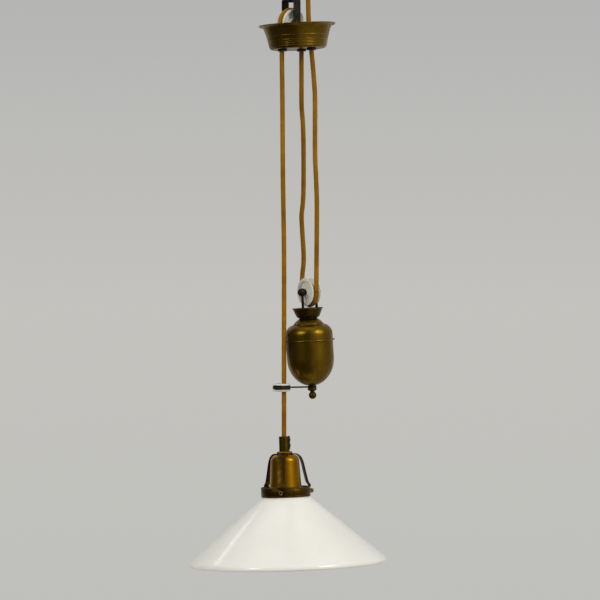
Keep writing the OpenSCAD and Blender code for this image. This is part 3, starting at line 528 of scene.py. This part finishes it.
lampCord = braidedTube("lampCord", strandLines["lamp"], cordValues["radius"])
lampCord.data.materials.append(finishes["silk_cord"])
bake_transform(lampCord)
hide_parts("lamp_strand")


# half a turn of cord round a pulley, in the pulley's own frame
def halfTurn(pitch, way):
    return [Vector((0, pitch * math.cos(a), way * pitch * math.sin(a)))
            for a in [math.pi * i / 44 for i in range(45)]]


pulleyPitch = {"top": 17.5, "weight": 16.5}
finishPiece(braidedTube("topWrapCord", halfTurn(pulleyPitch["top"], 1), cordValues["radius"], topPlace),
            "root", "silk_cord", "top_wrap")
wrapTurn = [(forkPlace @ (p * mm)) / mm for p in halfTurn(pulleyPitch["weight"], -1)]
finishPiece(braidedTube("weightWrapCord", wrapTurn, cordValues["radius"] - 0.04),
            "counterweight", "silk_cord", "weight_wrap")
# it runs on up inside both strands, which end above it where the lamp is at its highest
for key in ("supply", "middle"):
    foot = strandLines[key][0].z
    tail = [p for p in strandLines[key] if p.z < foot + cordValues["tail"]]
    tailCord = finishPiece(braidedTube(key + "TailCord", tail, cordValues["radius"] - 0.04),
                           "counterweight", "silk_cord")
    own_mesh(tailCord)

# the cord's end inside the grip and the holder: the sheath, then two cores to the clamps
coreValues = {"radius": 1.1, "foot": (9, 0, -35.1), "mouth": -6.2, "sheathLow": -30.4}
sheathLine = [Vector((0, 0, coreValues["mouth"] + (coreValues["sheathLow"] - coreValues["mouth"]) * i / 16))
              for i in range(17)]
endParts = [braidedTube("cordSheath", sheathLine, 2.95, lampPlace)]
for way in (-1, 1):
    foot = coreValues["foot"]
    route = [(way * 1.3, 0, -29.6), (way * 1.9, 0, -31.2), (way * 5.4, 0, -32.6), (way * foot[0], 0, foot[2])]
    endParts.append(braidedTube("cordCore" + ("Left" if way < 0 else "Right"),
                                smoothLine(route, 0.8), coreValues["radius"], lampPlace, 16, 0.04))
for part in endParts:
    finishPiece(part, "lamp", "silk_cord")
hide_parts("cord_end")
print("cord made")


# Hanger, bracket and top pulley

softenedCopy("hanger_eye", "root", "black_iron", 0.9, 3)
softenedCopy("pulley_bracket", "root", "black_iron", 0.5, 3)
softenedCopy("top_axle", "root", "black_iron", 0.5, 3)
softenedCopy("top_axle_nuts", "root", "black_iron", 0.35)
softenedCopy("top_spacers", "root", "black_iron", 0.2)
softenedCopy("supply_terminal", "root", "porcelain", 1.0, 4)
softenedCopy("terminal_screws", "root", "polished_brass", 0.25)

topWheel = {"pitch": 17.5, "rim": 18.7, "half": 6.3, "bore": 2.56, "groove": 3.6, "dish": 2.4}
weightWheel = {"pitch": 16.5, "rim": 17.7, "half": 6.2, "bore": 2.06, "groove": 3.6, "dish": 2.3}


# a grooved porcelain wheel: hub, dished web, rounded rims and a groove for the cord
def wheelSide(values):
    rim, half, pitch = values["rim"], values["half"], values["pitch"]
    groove = values["groove"]
    lip = groove + 1.6
    edge = (half - lip) / 2
    hub, dish = rim * 0.36, rim - 3.4
    low = half - values["dish"]
    upper = eased([(values["bore"], 0), (values["bore"], half), (hub, half), (hub + 0.8, low),
                   (dish - 1.2, low), (dish, half), (rim - edge, half)], 0.6)[2:-3]
    upper = [p for p in upper if p[0] > hub - 1]
    upper = [(values["bore"], half - 0.5), (values["bore"] + 0.5, half)] + upper
    upper += arcPoints((rim - edge, half - edge), edge, 90, -60, 10)
    upper += [(pitch + 0.2, groove + 0.3)] + arcPoints((pitch, 0), groove, 106, 180, 12)
    return upper + [(r, -z) for r, z in reversed(upper[:-1])]


finishPiece(turned("topWheel", wheelSide(topWheel), topPlace @ alongX, 128),
            "top_pulley", "porcelain", "top_pulley")
finishPiece(turned("weightWheel", wheelSide(weightWheel), forkPlace @ alongX, 128),
            "weight_pulley", "porcelain", "weight_pulley")
print("hanger and pulleys made")


# Ceiling cup

cupValues = {
    "floor": 34.5, "rim": 49.0, "height": 31.3, "sheet": 1.0,
    "lines": [(3.6, 0.34), (6.3, 0.4), (8.2, 0.42), (10.7, 0.4), (16.6, 0.24)],  # height, how proud
    "holes": {"lamp_bush": (-20.1, -10), "weight_bush": (4.2, 11.5), "supply_bush": (17, -7)},
    "sleeve": 10.0, "bore": 8.4, "flange": 12.4,
}


def cupSide(values, inset):
    floor, rim, high = values["floor"], values["rim"], values["height"]
    bend = [(floor - 1.6, 0), (floor + 0.6, 0.9), (floor + 2, 3), (floor + 3.2, 9), (floor + 4.6, 15),
            (floor + 6.2, 20.5), (floor + 7.9, high - 5.9), (floor + 9.2, high - 3.2),
            (floor + 10.6, high - 1.9)]
    side = [(r - inset, z + (inset if z < 1 else 0)) for r, z in bend]
    return side + [(rim - 1.2, high - (0 if inset else 1.1))]


def proudLines(side, lines, width=0.42):
    out = []
    for (r, z), (nextR, nextZ) in zip(side, side[1:]):
        out.append((r, z))
        for high, proud in lines:
            if z + width < high < nextZ - width:
                for step, share in ((-width, 0), (-width * 0.5, 0.75), (0, 1), (width * 0.5, 0.75),
                                    (width, 0)):
                    t = (high + step - z) / (nextZ - z)
                    out.append((r + (nextR - r) * t + proud * share, high + step))
    return out + [side[-1]]


cupOuter = proudLines(cupSide(cupValues, 0), cupValues["lines"])
cupLip = arcPoints((cupValues["rim"] - 0.55, cupValues["height"] - 0.55), 0.55, -90, 90, 6)  # rolled edge
cupInner = list(reversed(cupSide(cupValues, cupValues["sheet"])))
cupProfile = [(0, 0)] + eased(cupOuter, 0.5) + cupLip + cupInner + [(0, cupValues["sheet"])]
cup = turned("ceilingCup", cupProfile, cupPlace, 160, shape=uneven(0.12, 16, 3))
cutter = bmesh.new()
for x, y in cupValues["holes"].values():
    bmesh.ops.create_cone(cutter, cap_ends=True, segments=48, depth=6 * mm,
                          radius1=(cupValues["sleeve"] / 2 + 0.05) * mm,
                          radius2=(cupValues["sleeve"] / 2 + 0.05) * mm,
                          matrix=Matrix.Translation(Vector((x, y, 0)) * mm))
cutterPiece = placed("cupHoles", cutter, cupPlace)
holes = cup.modifiers.new("bushHoles", "BOOLEAN")
holes.object = cutterPiece
holes.solver = "EXACT"
bpy.context.view_layer.update()
cutMesh = bpy.data.meshes.new_from_object(cup.evaluated_get(bpy.context.evaluated_depsgraph_get()))
cup.modifiers.clear()
cup.data = cutMesh
bpy.data.objects.remove(cutterPiece)
finishPiece(cup, "cup", "patinated_brass", "ceiling_cup")

for bushName, (x, y) in cupValues["holes"].items():
    sleeve, bore, flange = cupValues["sleeve"] / 2, cupValues["bore"] / 2, cupValues["flange"] / 2
    bushSide = eased([(bore, -2.6), (flange, -2.6), (flange, 0), (sleeve, 0), (sleeve, 5), (bore, 5)], 0.9, 5)
    bushPlace = cupPlace @ Matrix.Translation(Vector((x, y, -0.02)) * mm)
    finishPiece(turned(bushName.replace("_b", "B") + "ing", bushSide, bushPlace, 64),
                "cup", "black_glazed_bush", bushName)
softenedCopy("bush_nuts", "cup", "patinated_brass", 0.3)
print("cup made")


# Counterweight

eggValues = {
    "neckRim": 20.0, "neckHeight": 12.2, "sheet": 0.9, "radius": 30.0, "top": -14.1, "seam": -41.3,
    "domeRadius": 13.0, "egg": -63.9, "low": -99.3, "eggHeight": 35.4, "bead": 1.2,
    "finialTop": -101.3, "finialNut": 4.2, "ball": 4.9, "ballHeight": -111.4,
}


def neckSide(values, inset):
    rim, high = values["neckRim"], values["neckHeight"]
    side = [(rim - 6.6, -high), (rim - 5, -high + 2), (rim - 3.9, -7.6), (rim - 2.9, -5), (rim - 1.9, -2.6)]
    side = [(r - inset, z + (inset if z == -high else 0)) for r, z in side]
    return side + [(rim - 0.9, -0.75 if inset == 0 else -0.15)]


neckLip = arcPoints((eggValues["neckRim"] - 0.42, -0.45), 0.42, -80, 90, 6)
neckProfile = ([(0, -eggValues["neckHeight"])] + neckSide(eggValues, 0) + neckLip
               + list(reversed(neckSide(eggValues, eggValues["sheet"])))
               + [(0, -eggValues["neckHeight"] + eggValues["sheet"])])
finishPiece(turned("neckCup", refined(neckProfile, 1.2), weightPlace, 128, shape=uneven(0.07, 9, 5)),
            "counterweight", "patinated_brass", "neck_cup", finish="dark_brass")
collarSide = eased([(2.7, -14.1), (11.7, -14.1), (11.7, -12.2), (2.7, -12.2)], 0.5)
finishPiece(turned("neckFoot", collarSide, weightPlace, 96), "counterweight", "patinated_brass",
            "collar_ring", finish="dark_brass")


def upperSide(values, inset):
    r, top = values["radius"], values["top"]
    steps = [(12.4, top), (14.4, top - 1.4), (16.8, top - 3.4), (18.8, top - 5.5), (19.7, top - 6.7),
             (19.5, top - 7.3), (20.0, top - 7.5)]
    return ([(2.6, top - inset)] + [(x - inset, z - inset) for x, z in steps]
            + arcPoints((r - values["domeRadius"], top - 19.6), values["domeRadius"] - inset, 70, 0, 16)
            + [(r - inset, values["seam"])])


def lowerSide(values, inset):
    r = values["radius"] - inset
    deep = values["eggHeight"] - inset
    curve = [(r * math.cos(math.radians(a)), values["egg"] - deep * math.sin(math.radians(a)))
             for a in range(0, 86, 5)]
    return [(r, values["seam"] - 0.05)] + curve + [(2.6, values["low"] + inset)]


upperProfile = upperSide(eggValues, 0) + list(reversed(upperSide(eggValues, eggValues["sheet"])))
lowerProfile = lowerSide(eggValues, 0) + list(reversed(lowerSide(eggValues, eggValues["sheet"])))
finishPiece(turned("upperShell", refined(eased(upperProfile, 0.5), 1.6), weightPlace, 160,
                   shape=uneven(0.1, 12, 11)), "counterweight", "patinated_brass", "upper_shell")
finishPiece(turned("lowerShell", refined(lowerProfile, 1.6), weightPlace, 160,
                   shape=uneven(0.12, 13, 17)), "counterweight", "patinated_brass", "lower_shell")


def beadEnd(a, r, z):  # the bead's wire ends meet in a small knob on the right
    away = abs((a + math.radians(2) + math.pi) % (2 * math.pi) - math.pi)
    return 1.0 * max(0.0, 1 - (away / math.radians(4.5)) ** 2) if r > eggValues["radius"] + 0.3 else 0.0


beadSide = arcPoints((eggValues["radius"] + 0.05, eggValues["seam"]), eggValues["bead"], 84, -84, 10)
beadSide = [(eggValues["radius"] + 0.06, eggValues["seam"] + 1.18)] + beadSide
beadSide = beadSide + [(eggValues["radius"] + 0.06, eggValues["seam"] - 1.18)]
finishPiece(turned("seamBead", beadSide, weightPlace, 240, shape=beadEnd),
            "counterweight", "patinated_brass", "seam_ring")

finialTop, nutHigh, ballZ = eggValues["finialTop"], eggValues["finialNut"], eggValues["ballHeight"]
finialSide = ([(0, finialTop), (4.6, finialTop), (5.8, finialTop - 0.9), (5.8, finialTop - 3.1),
               (4.2, finialTop - nutHigh), (2.9, finialTop - nutHigh - 0.8)]
              + arcPoints((0, ballZ), eggValues["ball"], 58, -90, 16))
finialSide[-1] = (0, ballZ - eggValues["ball"])
finishPiece(turned("finial", eased(finialSide, 0.5), weightPlace, 96), "counterweight", "patinated_brass",
            "finial", finish="dark_brass")

softenedCopy("weight_fork", "counterweight", "black_iron", 0.5, 3)
softenedCopy("weight_axle", "counterweight", "black_iron", 0.4, 3)
softenedCopy("weight_axle_nut", "counterweight", "black_iron", 0.3)
softenedCopy("weight_spacers", "counterweight", "black_iron", 0.12)
softenedCopy("rod_nuts", "counterweight", "black_iron", 0.3)
softenedCopy("guide_arm", "counterweight", "black_iron", 0.3)

eyeletValues = {"x": -12.1, "y": -11.1, "radius": 11.4, "half": 5.1, "bore": 6.4, "groove": 8.1,
                "slot": 2.95, "wire": 1.0, "coil": 10.35, "turns": 3, "coilPitch": 1.2804}
eyeletHeight = sum(corner.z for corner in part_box("guide_eyelet")) / 2
eyeletUpper = ([(eyeletValues["bore"], 0), (eyeletValues["bore"], eyeletValues["half"] - 1.8)]
               + arcPoints((eyeletValues["bore"] + 1.8, eyeletValues["half"] - 1.8), 1.8, 180, 90, 8)[1:]
               + arcPoints((eyeletValues["radius"] - 2, eyeletValues["half"] - 2), 2, 90, 0, 8)
               + [(eyeletValues["radius"], eyeletValues["slot"] + 0.6),
                  (eyeletValues["radius"] - 0.6, eyeletValues["slot"]),
                  (eyeletValues["groove"], eyeletValues["slot"])])
eyeletSide = eyeletUpper + [(r, -z) for r, z in reversed(eyeletUpper[1:])]
eyeletPlace = Matrix.Translation((eyeletValues["x"] * mm, eyeletValues["y"] * mm, eyeletHeight))
finishPiece(turned("guideEyelet", eyeletSide, eyeletPlace, 96), "counterweight", "porcelain", "guide_eyelet")
coilTurns = [2 * math.pi * i / 48 for i in range(48 * eyeletValues["turns"] + 1)]  # wire wound round the ring
coilLine = [Vector((eyeletValues["coil"] * math.cos(a), eyeletValues["coil"] * math.sin(a),
                    (a - coilTurns[-1] / 2) * eyeletValues["coilPitch"] / (2 * math.pi))) for a in coilTurns]
finishPiece(braidedTube("guideCoil", coilLine, eyeletValues["wire"], eyeletPlace, 12, 0),
            "counterweight", "black_iron")
print("counterweight made")


# Lampholder

holderValues = {
    "grip": 19.1, "flange": 2.8, "arm": 1.2, "topRadius": 18.2, "lowRadius": 20.2, "height": 41.0,
    "sheet": 0.8, "shoulder": 8.6,
}
holderTop = -holderValues["grip"] - holderValues["flange"] - holderValues["arm"]
holderLow = holderTop - holderValues["height"]


def holderSide(values, inset):
    shoulder = values["shoulder"]
    side = [(5.1, holderTop - inset)]
    side += arcPoints((values["topRadius"] - shoulder, holderTop - shoulder), shoulder - inset, 90, 0, 14)
    low = values["lowRadius"] - inset
    return side + [(low, holderLow + 0.3), (low - 0.3 + inset * 0.5, holderLow)]


holderProfile = holderSide(holderValues, 0) + list(reversed(holderSide(holderValues, holderValues["sheet"])))
finishPiece(turned("holderBody", refined(holderProfile, 1.4), lampPlace, 144, shape=uneven(0.07, 11, 23)),
            "lamp", "polished_brass", "holder_body")
flangeSide = eased([(5.1, -21.9), (9.35, -21.9), (9.85, -21.3), (9.85, -19.9), (8.85, -19.1), (5.1, -19.1)],
                   0.3, 2)
milled = {"low": -21.7, "high": -19.3, "from": 9.0, "depth": 0.28, "count": 48}
finishPiece(turned("flangeNut", refined(flangeSide, 0.6), lampPlace, 384, flutes=milled),
            "lamp", "polished_brass", "flange_nut")
softenedCopy("cord_grip", "lamp", "polished_brass", 0.45, 3, "dark_brass")
softenedCopy("grip_screws", "lamp", "black_iron", 0.3, 3)
softenedCopy("skirt_ring", "lamp", "polished_brass", 0.25)
softenedCopy("socket_insert", "lamp", "porcelain", 0.5, 3)
softenedCopy("centre_contact", "lamp", "polished_brass", 0.35, 3)
softenedCopy("terminal_clamps", "lamp", "polished_brass", 0.3)

# E27 screw shell: the rounded thread runs round it at 3.62 mm a turn
threadValues = {"low": -62.7, "high": -49.2, "radius": 13.45, "depth": 0.32, "pitch": 3.62, "rounds": 72}


def threadShape(a, r, z):
    if r < 13 or z > threadValues["high"] - 0.6:
        return 0.0
    return threadValues["depth"] * math.sin(2 * math.pi * z / threadValues["pitch"] - a)


threadRows = 48
threadRise = [threadValues["low"] + (threadValues["high"] - threadValues["low"]) * i / threadRows
              for i in range(threadRows + 1)]
threadSide = [(threadValues["radius"], z) for z in threadRise]
threadSide += [(6, threadValues["high"]), (6, threadValues["high"] - 0.3),
               (threadValues["radius"] - 0.3, threadValues["high"] - 0.3)]
threadSide += [(threadValues["radius"] - 0.3, z) for z in reversed(threadRise[:-2])]
finishPiece(turned("screwShell", threadSide, lampPlace, threadValues["rounds"], shape=threadShape),
            "lamp", "polished_brass", "screw_shell")
print("lampholder made")


# Gallery

galleryValues = {"radius": 31.4, "wall": 1.4, "height": 12.3, "armWidth": 10.0, "armThick": 1.2,
                 "plate": 11.5, "angles": {"front": -10, "right": 110, "back": -130}}
ringTop = holderLow + 0.2
ringLow = ringTop - galleryValues["height"]
screwHeight = (ringTop + ringLow) / 2
ringOut, ringIn = galleryValues["radius"], galleryValues["radius"] - galleryValues["wall"]
ringSide = ([(ringIn, ringLow)] + [(ringOut - 0.25, ringLow), (ringOut, ringLow + 0.3)]
            + [(ringOut, ringLow + 1.5), (ringOut - 0.3, ringLow + 1.8), (ringOut - 0.3, ringLow + 2.1)]
            + [(ringOut - 0.12, ringLow + 2.5), (ringOut - 0.12, ringTop - 2.5)]
            + [(ringOut - 0.3, ringTop - 2.1), (ringOut - 0.3, ringTop - 1.8), (ringOut, ringTop - 1.5)]
            + [(ringOut, ringTop - 1.0), (ringOut - 0.15, ringTop - 0.45), (ringOut - 0.5, ringTop - 0.1),
               (ringOut - 0.8, ringTop), (ringIn + 0.4, ringTop), (ringIn, ringTop - 0.4)])
finishPiece(turned("galleryRing", ringSide, lampPlace, 160, shape=uneven(0.05, 12, 31)),
            "lamp", "gallery_brass", "gallery_ring")

foot = ringOut + galleryValues["armThick"] / 2 + 0.05
armFlat = holderTop + galleryValues["armThick"] / 2 + 0.05
armLine = [(10.15, armFlat), (13.6, armFlat), (17.2, holderTop - 0.6), (20.5, holderTop - 3.7),
           (23.4, holderTop - 10.5), (foot - 5.9, ringTop + 18.3), (foot - 2.6, ringTop + 4.9),
           (foot - 0.7, ringTop + 2.4), (foot, ringTop + 0.6), (foot, ringTop - 2.8)]


# a bent brass strap along a line of (radius, height): rounded edges and a rounded foot
def bentStrap(mesh, line, width, thick, place):
    path = smoothLine([(r, 0, z) for r, z in line], 0.8)
    section = [(-0.5, 0.2), (-0.48, 0.4), (-0.44, 0.5), (0.44, 0.5), (0.48, 0.4), (0.5, 0.2),
               (0.5, -0.3), (0.47, -0.5), (-0.47, -0.5), (-0.5, -0.3)]
    rings = []
    for i, point in enumerate(path):
        ahead = (path[min(i + 1, len(path) - 1)] - path[max(i - 1, 0)]).normalized()
        out = Vector((-ahead.z, 0, ahead.x))
        out = out if out.x + out.z > 0 else -out
        left = len(path) - 1 - i
        narrow = math.sqrt(max(0.02, 1 - max(0, 1 - left * 0.8 / 4.5) ** 2))  # the foot's round end
        ring = []
        for across, high in section:
            spot = point + Vector((0, across * width * narrow, 0)) + out * (high * thick)
            ring.append(mesh.verts.new(place @ (spot * mm)))
        rings.append(ring)
    for a, b in zip(rings, rings[1:]):
        for k in range(len(section)):
            n = (k + 1) % len(section)
            mesh.faces.new((a[k], a[n], b[n], b[k]))
    mesh.faces.new(rings[0])
    mesh.faces.new(rings[-1])


armMesh = bmesh.new()
for angle in galleryValues["angles"].values():
    turn = Matrix.Rotation(math.radians(angle - 90), 4, "Z")
    bentStrap(armMesh, armLine, galleryValues["armWidth"], galleryValues["armThick"], turn)
galleryArms = placed("galleryArms", armMesh, lampPlace, 50)
plateSide = eased([(5.1, holderTop + 0.02), (galleryValues["plate"], holderTop + 0.02),
                   (galleryValues["plate"], holderTop + 1.18), (5.1, holderTop + 1.18)], 0.3)
galleryPlate = turned("galleryPlate", plateSide, lampPlace, 96)
finishPiece(galleryPlate, "lamp", "gallery_brass")
finishPiece(galleryArms, "lamp", "gallery_brass", "gallery_frame")

screwValues = {"tip": 29.0, "shank": 1.75, "head": 2.85, "headIn": 31.9, "headLong": 5.0}
tip, headIn = screwValues["tip"], screwValues["headIn"]
shank, head = screwValues["shank"], screwValues["head"]
headOut = headIn + screwValues["headLong"]
screwSide = [(0, tip), (1.2, tip), (shank, tip + 0.5), (shank, headIn), (2.3, headIn), (head, headIn + 0.5),
             (head, headIn + 3.2), (2.6, headIn + 4.1), (2.3, headOut), (1.35, headOut), (1.2, headOut - 2.0),
             (0, headOut - 2.2)]
knurl = {"low": headIn + 0.2, "high": headIn + 3.5, "from": 2.4, "depth": 0.3, "count": 18}
for key, angle in galleryValues["angles"].items():
    screwPlace = roundLamp(angle) @ Matrix.Translation((0, 0, screwHeight * mm)) @ alongX
    thumbScrew = turned(key + "ThumbScrew", refined(eased(screwSide, 0.2, 2), 0.5), screwPlace, 144,
                        flutes=knurl)
    finishPiece(thumbScrew, key + "_screw", "gallery_brass", key + "_screw",
                finish="rubbed_brass" if key == "front" else "dark_brass")
print("gallery made")


# Shade

shadeValues = {"collar": 28.7, "collarTop": -65.5, "neck": -75.4, "rim": 124.8, "thick": 3.0, "slope": 40.2}
slope = math.radians(shadeValues["slope"])
down = Vector((math.cos(slope), -math.sin(slope)))
inward = Vector((-math.sin(slope), -math.cos(slope))) * shadeValues["thick"]
collar, neck, rim = shadeValues["collar"], shadeValues["neck"], shadeValues["rim"]
rimHeight = neck - (rim - 2.2 - collar) * math.tan(slope)
insideFoot = Vector((collar - shadeValues["thick"], neck - shadeValues["thick"]))
insideRim = Vector((rim - 2.2, rimHeight)) + inward - 1.2 * down
shadeOuter = [(collar - 1.6, shadeValues["collarTop"]), (collar - 0.4, shadeValues["collarTop"] - 0.3),
              (collar, shadeValues["collarTop"] - 1.4), (collar, neck + 1.6), (collar + 0.35, neck + 0.5),
              (collar + 1.1, neck - 0.7)]
shadeRim = ([(rim - 2.2, rimHeight)] + [(rim - 1.0, rimHeight - 1.2), (rim - 0.3, rimHeight - 2.4)]
            + [(rim, rimHeight - 3.9), (rim, rimHeight - 5.0), (rim - 0.6, rimHeight - 6.2)]
            + [(rim - 1.7, rimHeight - 7.0), (rim - 3.0, rimHeight - 7.1), (rim - 3.9, rimHeight - 6.4)])
shadeProfile = (shadeOuter + shadeRim + [tuple(insideRim), tuple(insideFoot + Vector((0.5, -0.3))),
                                         tuple(insideFoot + Vector((0, 1.0)))]
                + [(collar - shadeValues["thick"], shadeValues["collarTop"] - 1.0),
                   (collar - shadeValues["thick"] + 0.6, shadeValues["collarTop"] - 0.15)])
opalShade = turned("opalShade", refined(shadeProfile, 2.4), lampPlace, 256, shape=uneven(0.1, 45, 41))
opalShade.data.transform(opalShade.matrix_world)  # its box is then the glass's own, not that of a leaned box
opalShade.matrix_world = Matrix.Identity(4)
finishPiece(opalShade, "lamp", "opal_glass", "shade")
print("shade made")


# Floor, world and lights

room = {
    "floorHeight": -2.2, "floorHalf": 8.0,
    "floorHues": [(0.3, "#cfcdc8"), (0.7, "#d6d4cf")],
    "skyHues": [(0.0, "#bfc0bc"), (0.5, "#c4c2be"), (1.0, "#b4b5b4")],  # low to high, as in the photograph
    "mirrorHues": [(0.0, "#484540"), (0.3, "#45423c"), (0.5, "#48453e"), (0.6, "#968f83"), (0.85, "#a8a297"),
                   (1.0, "#908c84")],  # from the studio's left to its right
    "ceilingHue": "#e6e0ce", "backdropHue": "#b9b7b2",
    "ambientHue": "#f4f2ee", "ambient": 0.62,
}
floorMesh = bmesh.new()
bmesh.ops.create_grid(floorMesh, x_segments=8, y_segments=8, size=room["floorHalf"])
floor = placed("paleFloor", floorMesh, Matrix.Translation((0, 0, room["floorHeight"])))
floorPaint, floorTree, floorShader = newMaterial("matFloorPaint", Roughness=0.9)
floorWhere = addNode(floorTree, "ShaderNodeTexCoord").outputs["Object"]
floorCloud = addNode(floorTree, "ShaderNodeTexNoise", {"Vector": floorWhere, "Scale": 2.5, "Detail": 3.0})
floorHue = addNode(floorTree, "ShaderNodeValToRGB", {0: floorCloud}, room["floorHues"])
floorTree.links.new(floorHue.outputs[0], floorShader.inputs["Base Color"])
floor.data.materials.append(floorPaint)
floor.visible_glossy = False  # metal mirrors the studio's own surroundings below too, not the pale floor

world = bpy.data.worlds.new("studio")
scene.world = world
world.use_nodes = True
sky = world.node_tree
sky.nodes.clear()
skyWay = addNode(sky, "ShaderNodeSeparateXYZ", {0: addNode(sky, "ShaderNodeTexCoord").outputs["Generated"]})
skyHigh = spread(sky, skyWay.outputs["Z"], -0.14, 0.08, 0.0, 1.0)
skyHue = addNode(sky, "ShaderNodeValToRGB", {0: skyHigh}, room["skyHues"])
seen = addNode(sky, "ShaderNodeBackground", {"Color": skyHue, "Strength": 1.0})
# what metal mirrors: a darker studio on the left and a pale wall on the right
skySide = spread(sky, skyWay.outputs["X"], -1.0, 1.0, 0.0, 1.0)
mirrorHue = addNode(sky, "ShaderNodeValToRGB", {0: skySide}, room["mirrorHues"])
skyUp = spread(sky, skyWay.outputs["Z"], 0.7, 0.95, 0.0, 1.0)
skyBack = spread(sky, skyWay.outputs["Y"], 0.35, 0.75, 0.0, 1.0)
mirrorBack = mixHues(sky, skyBack, mirrorHue, hexColour(room["backdropHue"]))
mirrorAll = mixHues(sky, skyUp, mirrorBack.outputs[2], hexColour(room["ceilingHue"]))
mirrored = addNode(sky, "ShaderNodeBackground", {"Color": mirrorAll.outputs[2], "Strength": 1.0})
ambient = addNode(sky, "ShaderNodeBackground", {"Color": hexColour(room["ambientHue"]),
                                                "Strength": room["ambient"]})
ray = addNode(sky, "ShaderNodeLightPath")
glossy = addNode(sky, "ShaderNodeMixShader", {0: ray.outputs["Is Glossy Ray"], 1: ambient, 2: mirrored})
clear = addNode(sky, "ShaderNodeMixShader", {0: ray.outputs["Is Transmission Ray"], 1: glossy, 2: seen})
direct = addNode(sky, "ShaderNodeMixShader", {0: ray.outputs["Is Camera Ray"], 1: clear, 2: seen})
addNode(sky, "ShaderNodeOutputWorld", {"Surface": direct})

lamps = {
    "leftBox": {"place": (-1.9, -2.0, 0.9), "aim": (0, 0, -0.45), "size": (0.8, 1.0), "watts": 24},
    "rightBox": {"place": (2.1, -1.7, 1.0), "aim": (0, 0, -0.45), "size": (1.0, 1.2), "watts": 38},
    "backStrip": {"place": (-1.105, 1.1, 0.52), "aim": (-0.08, -0.08, -0.7), "size": (0.3, 0.16),
                  "watts": 0.3},
}
for lampName, values in lamps.items():
    light = bpy.data.lights.new(lampName, "AREA")
    light.shape = "RECTANGLE"
    light.size, light.size_y = values["size"]
    light.energy = values["watts"]
    lightObject = bpy.data.objects.new(lampName, light)
    lightObject.location = values["place"]
    toAim = Vector(values["aim"]) - Vector(values["place"])
    lightObject.rotation_euler = toAim.to_track_quat("-Z", "Y").to_euler()
    scene.collection.objects.link(lightObject)
scene.view_settings.view_transform = "Standard"
print("room lit")
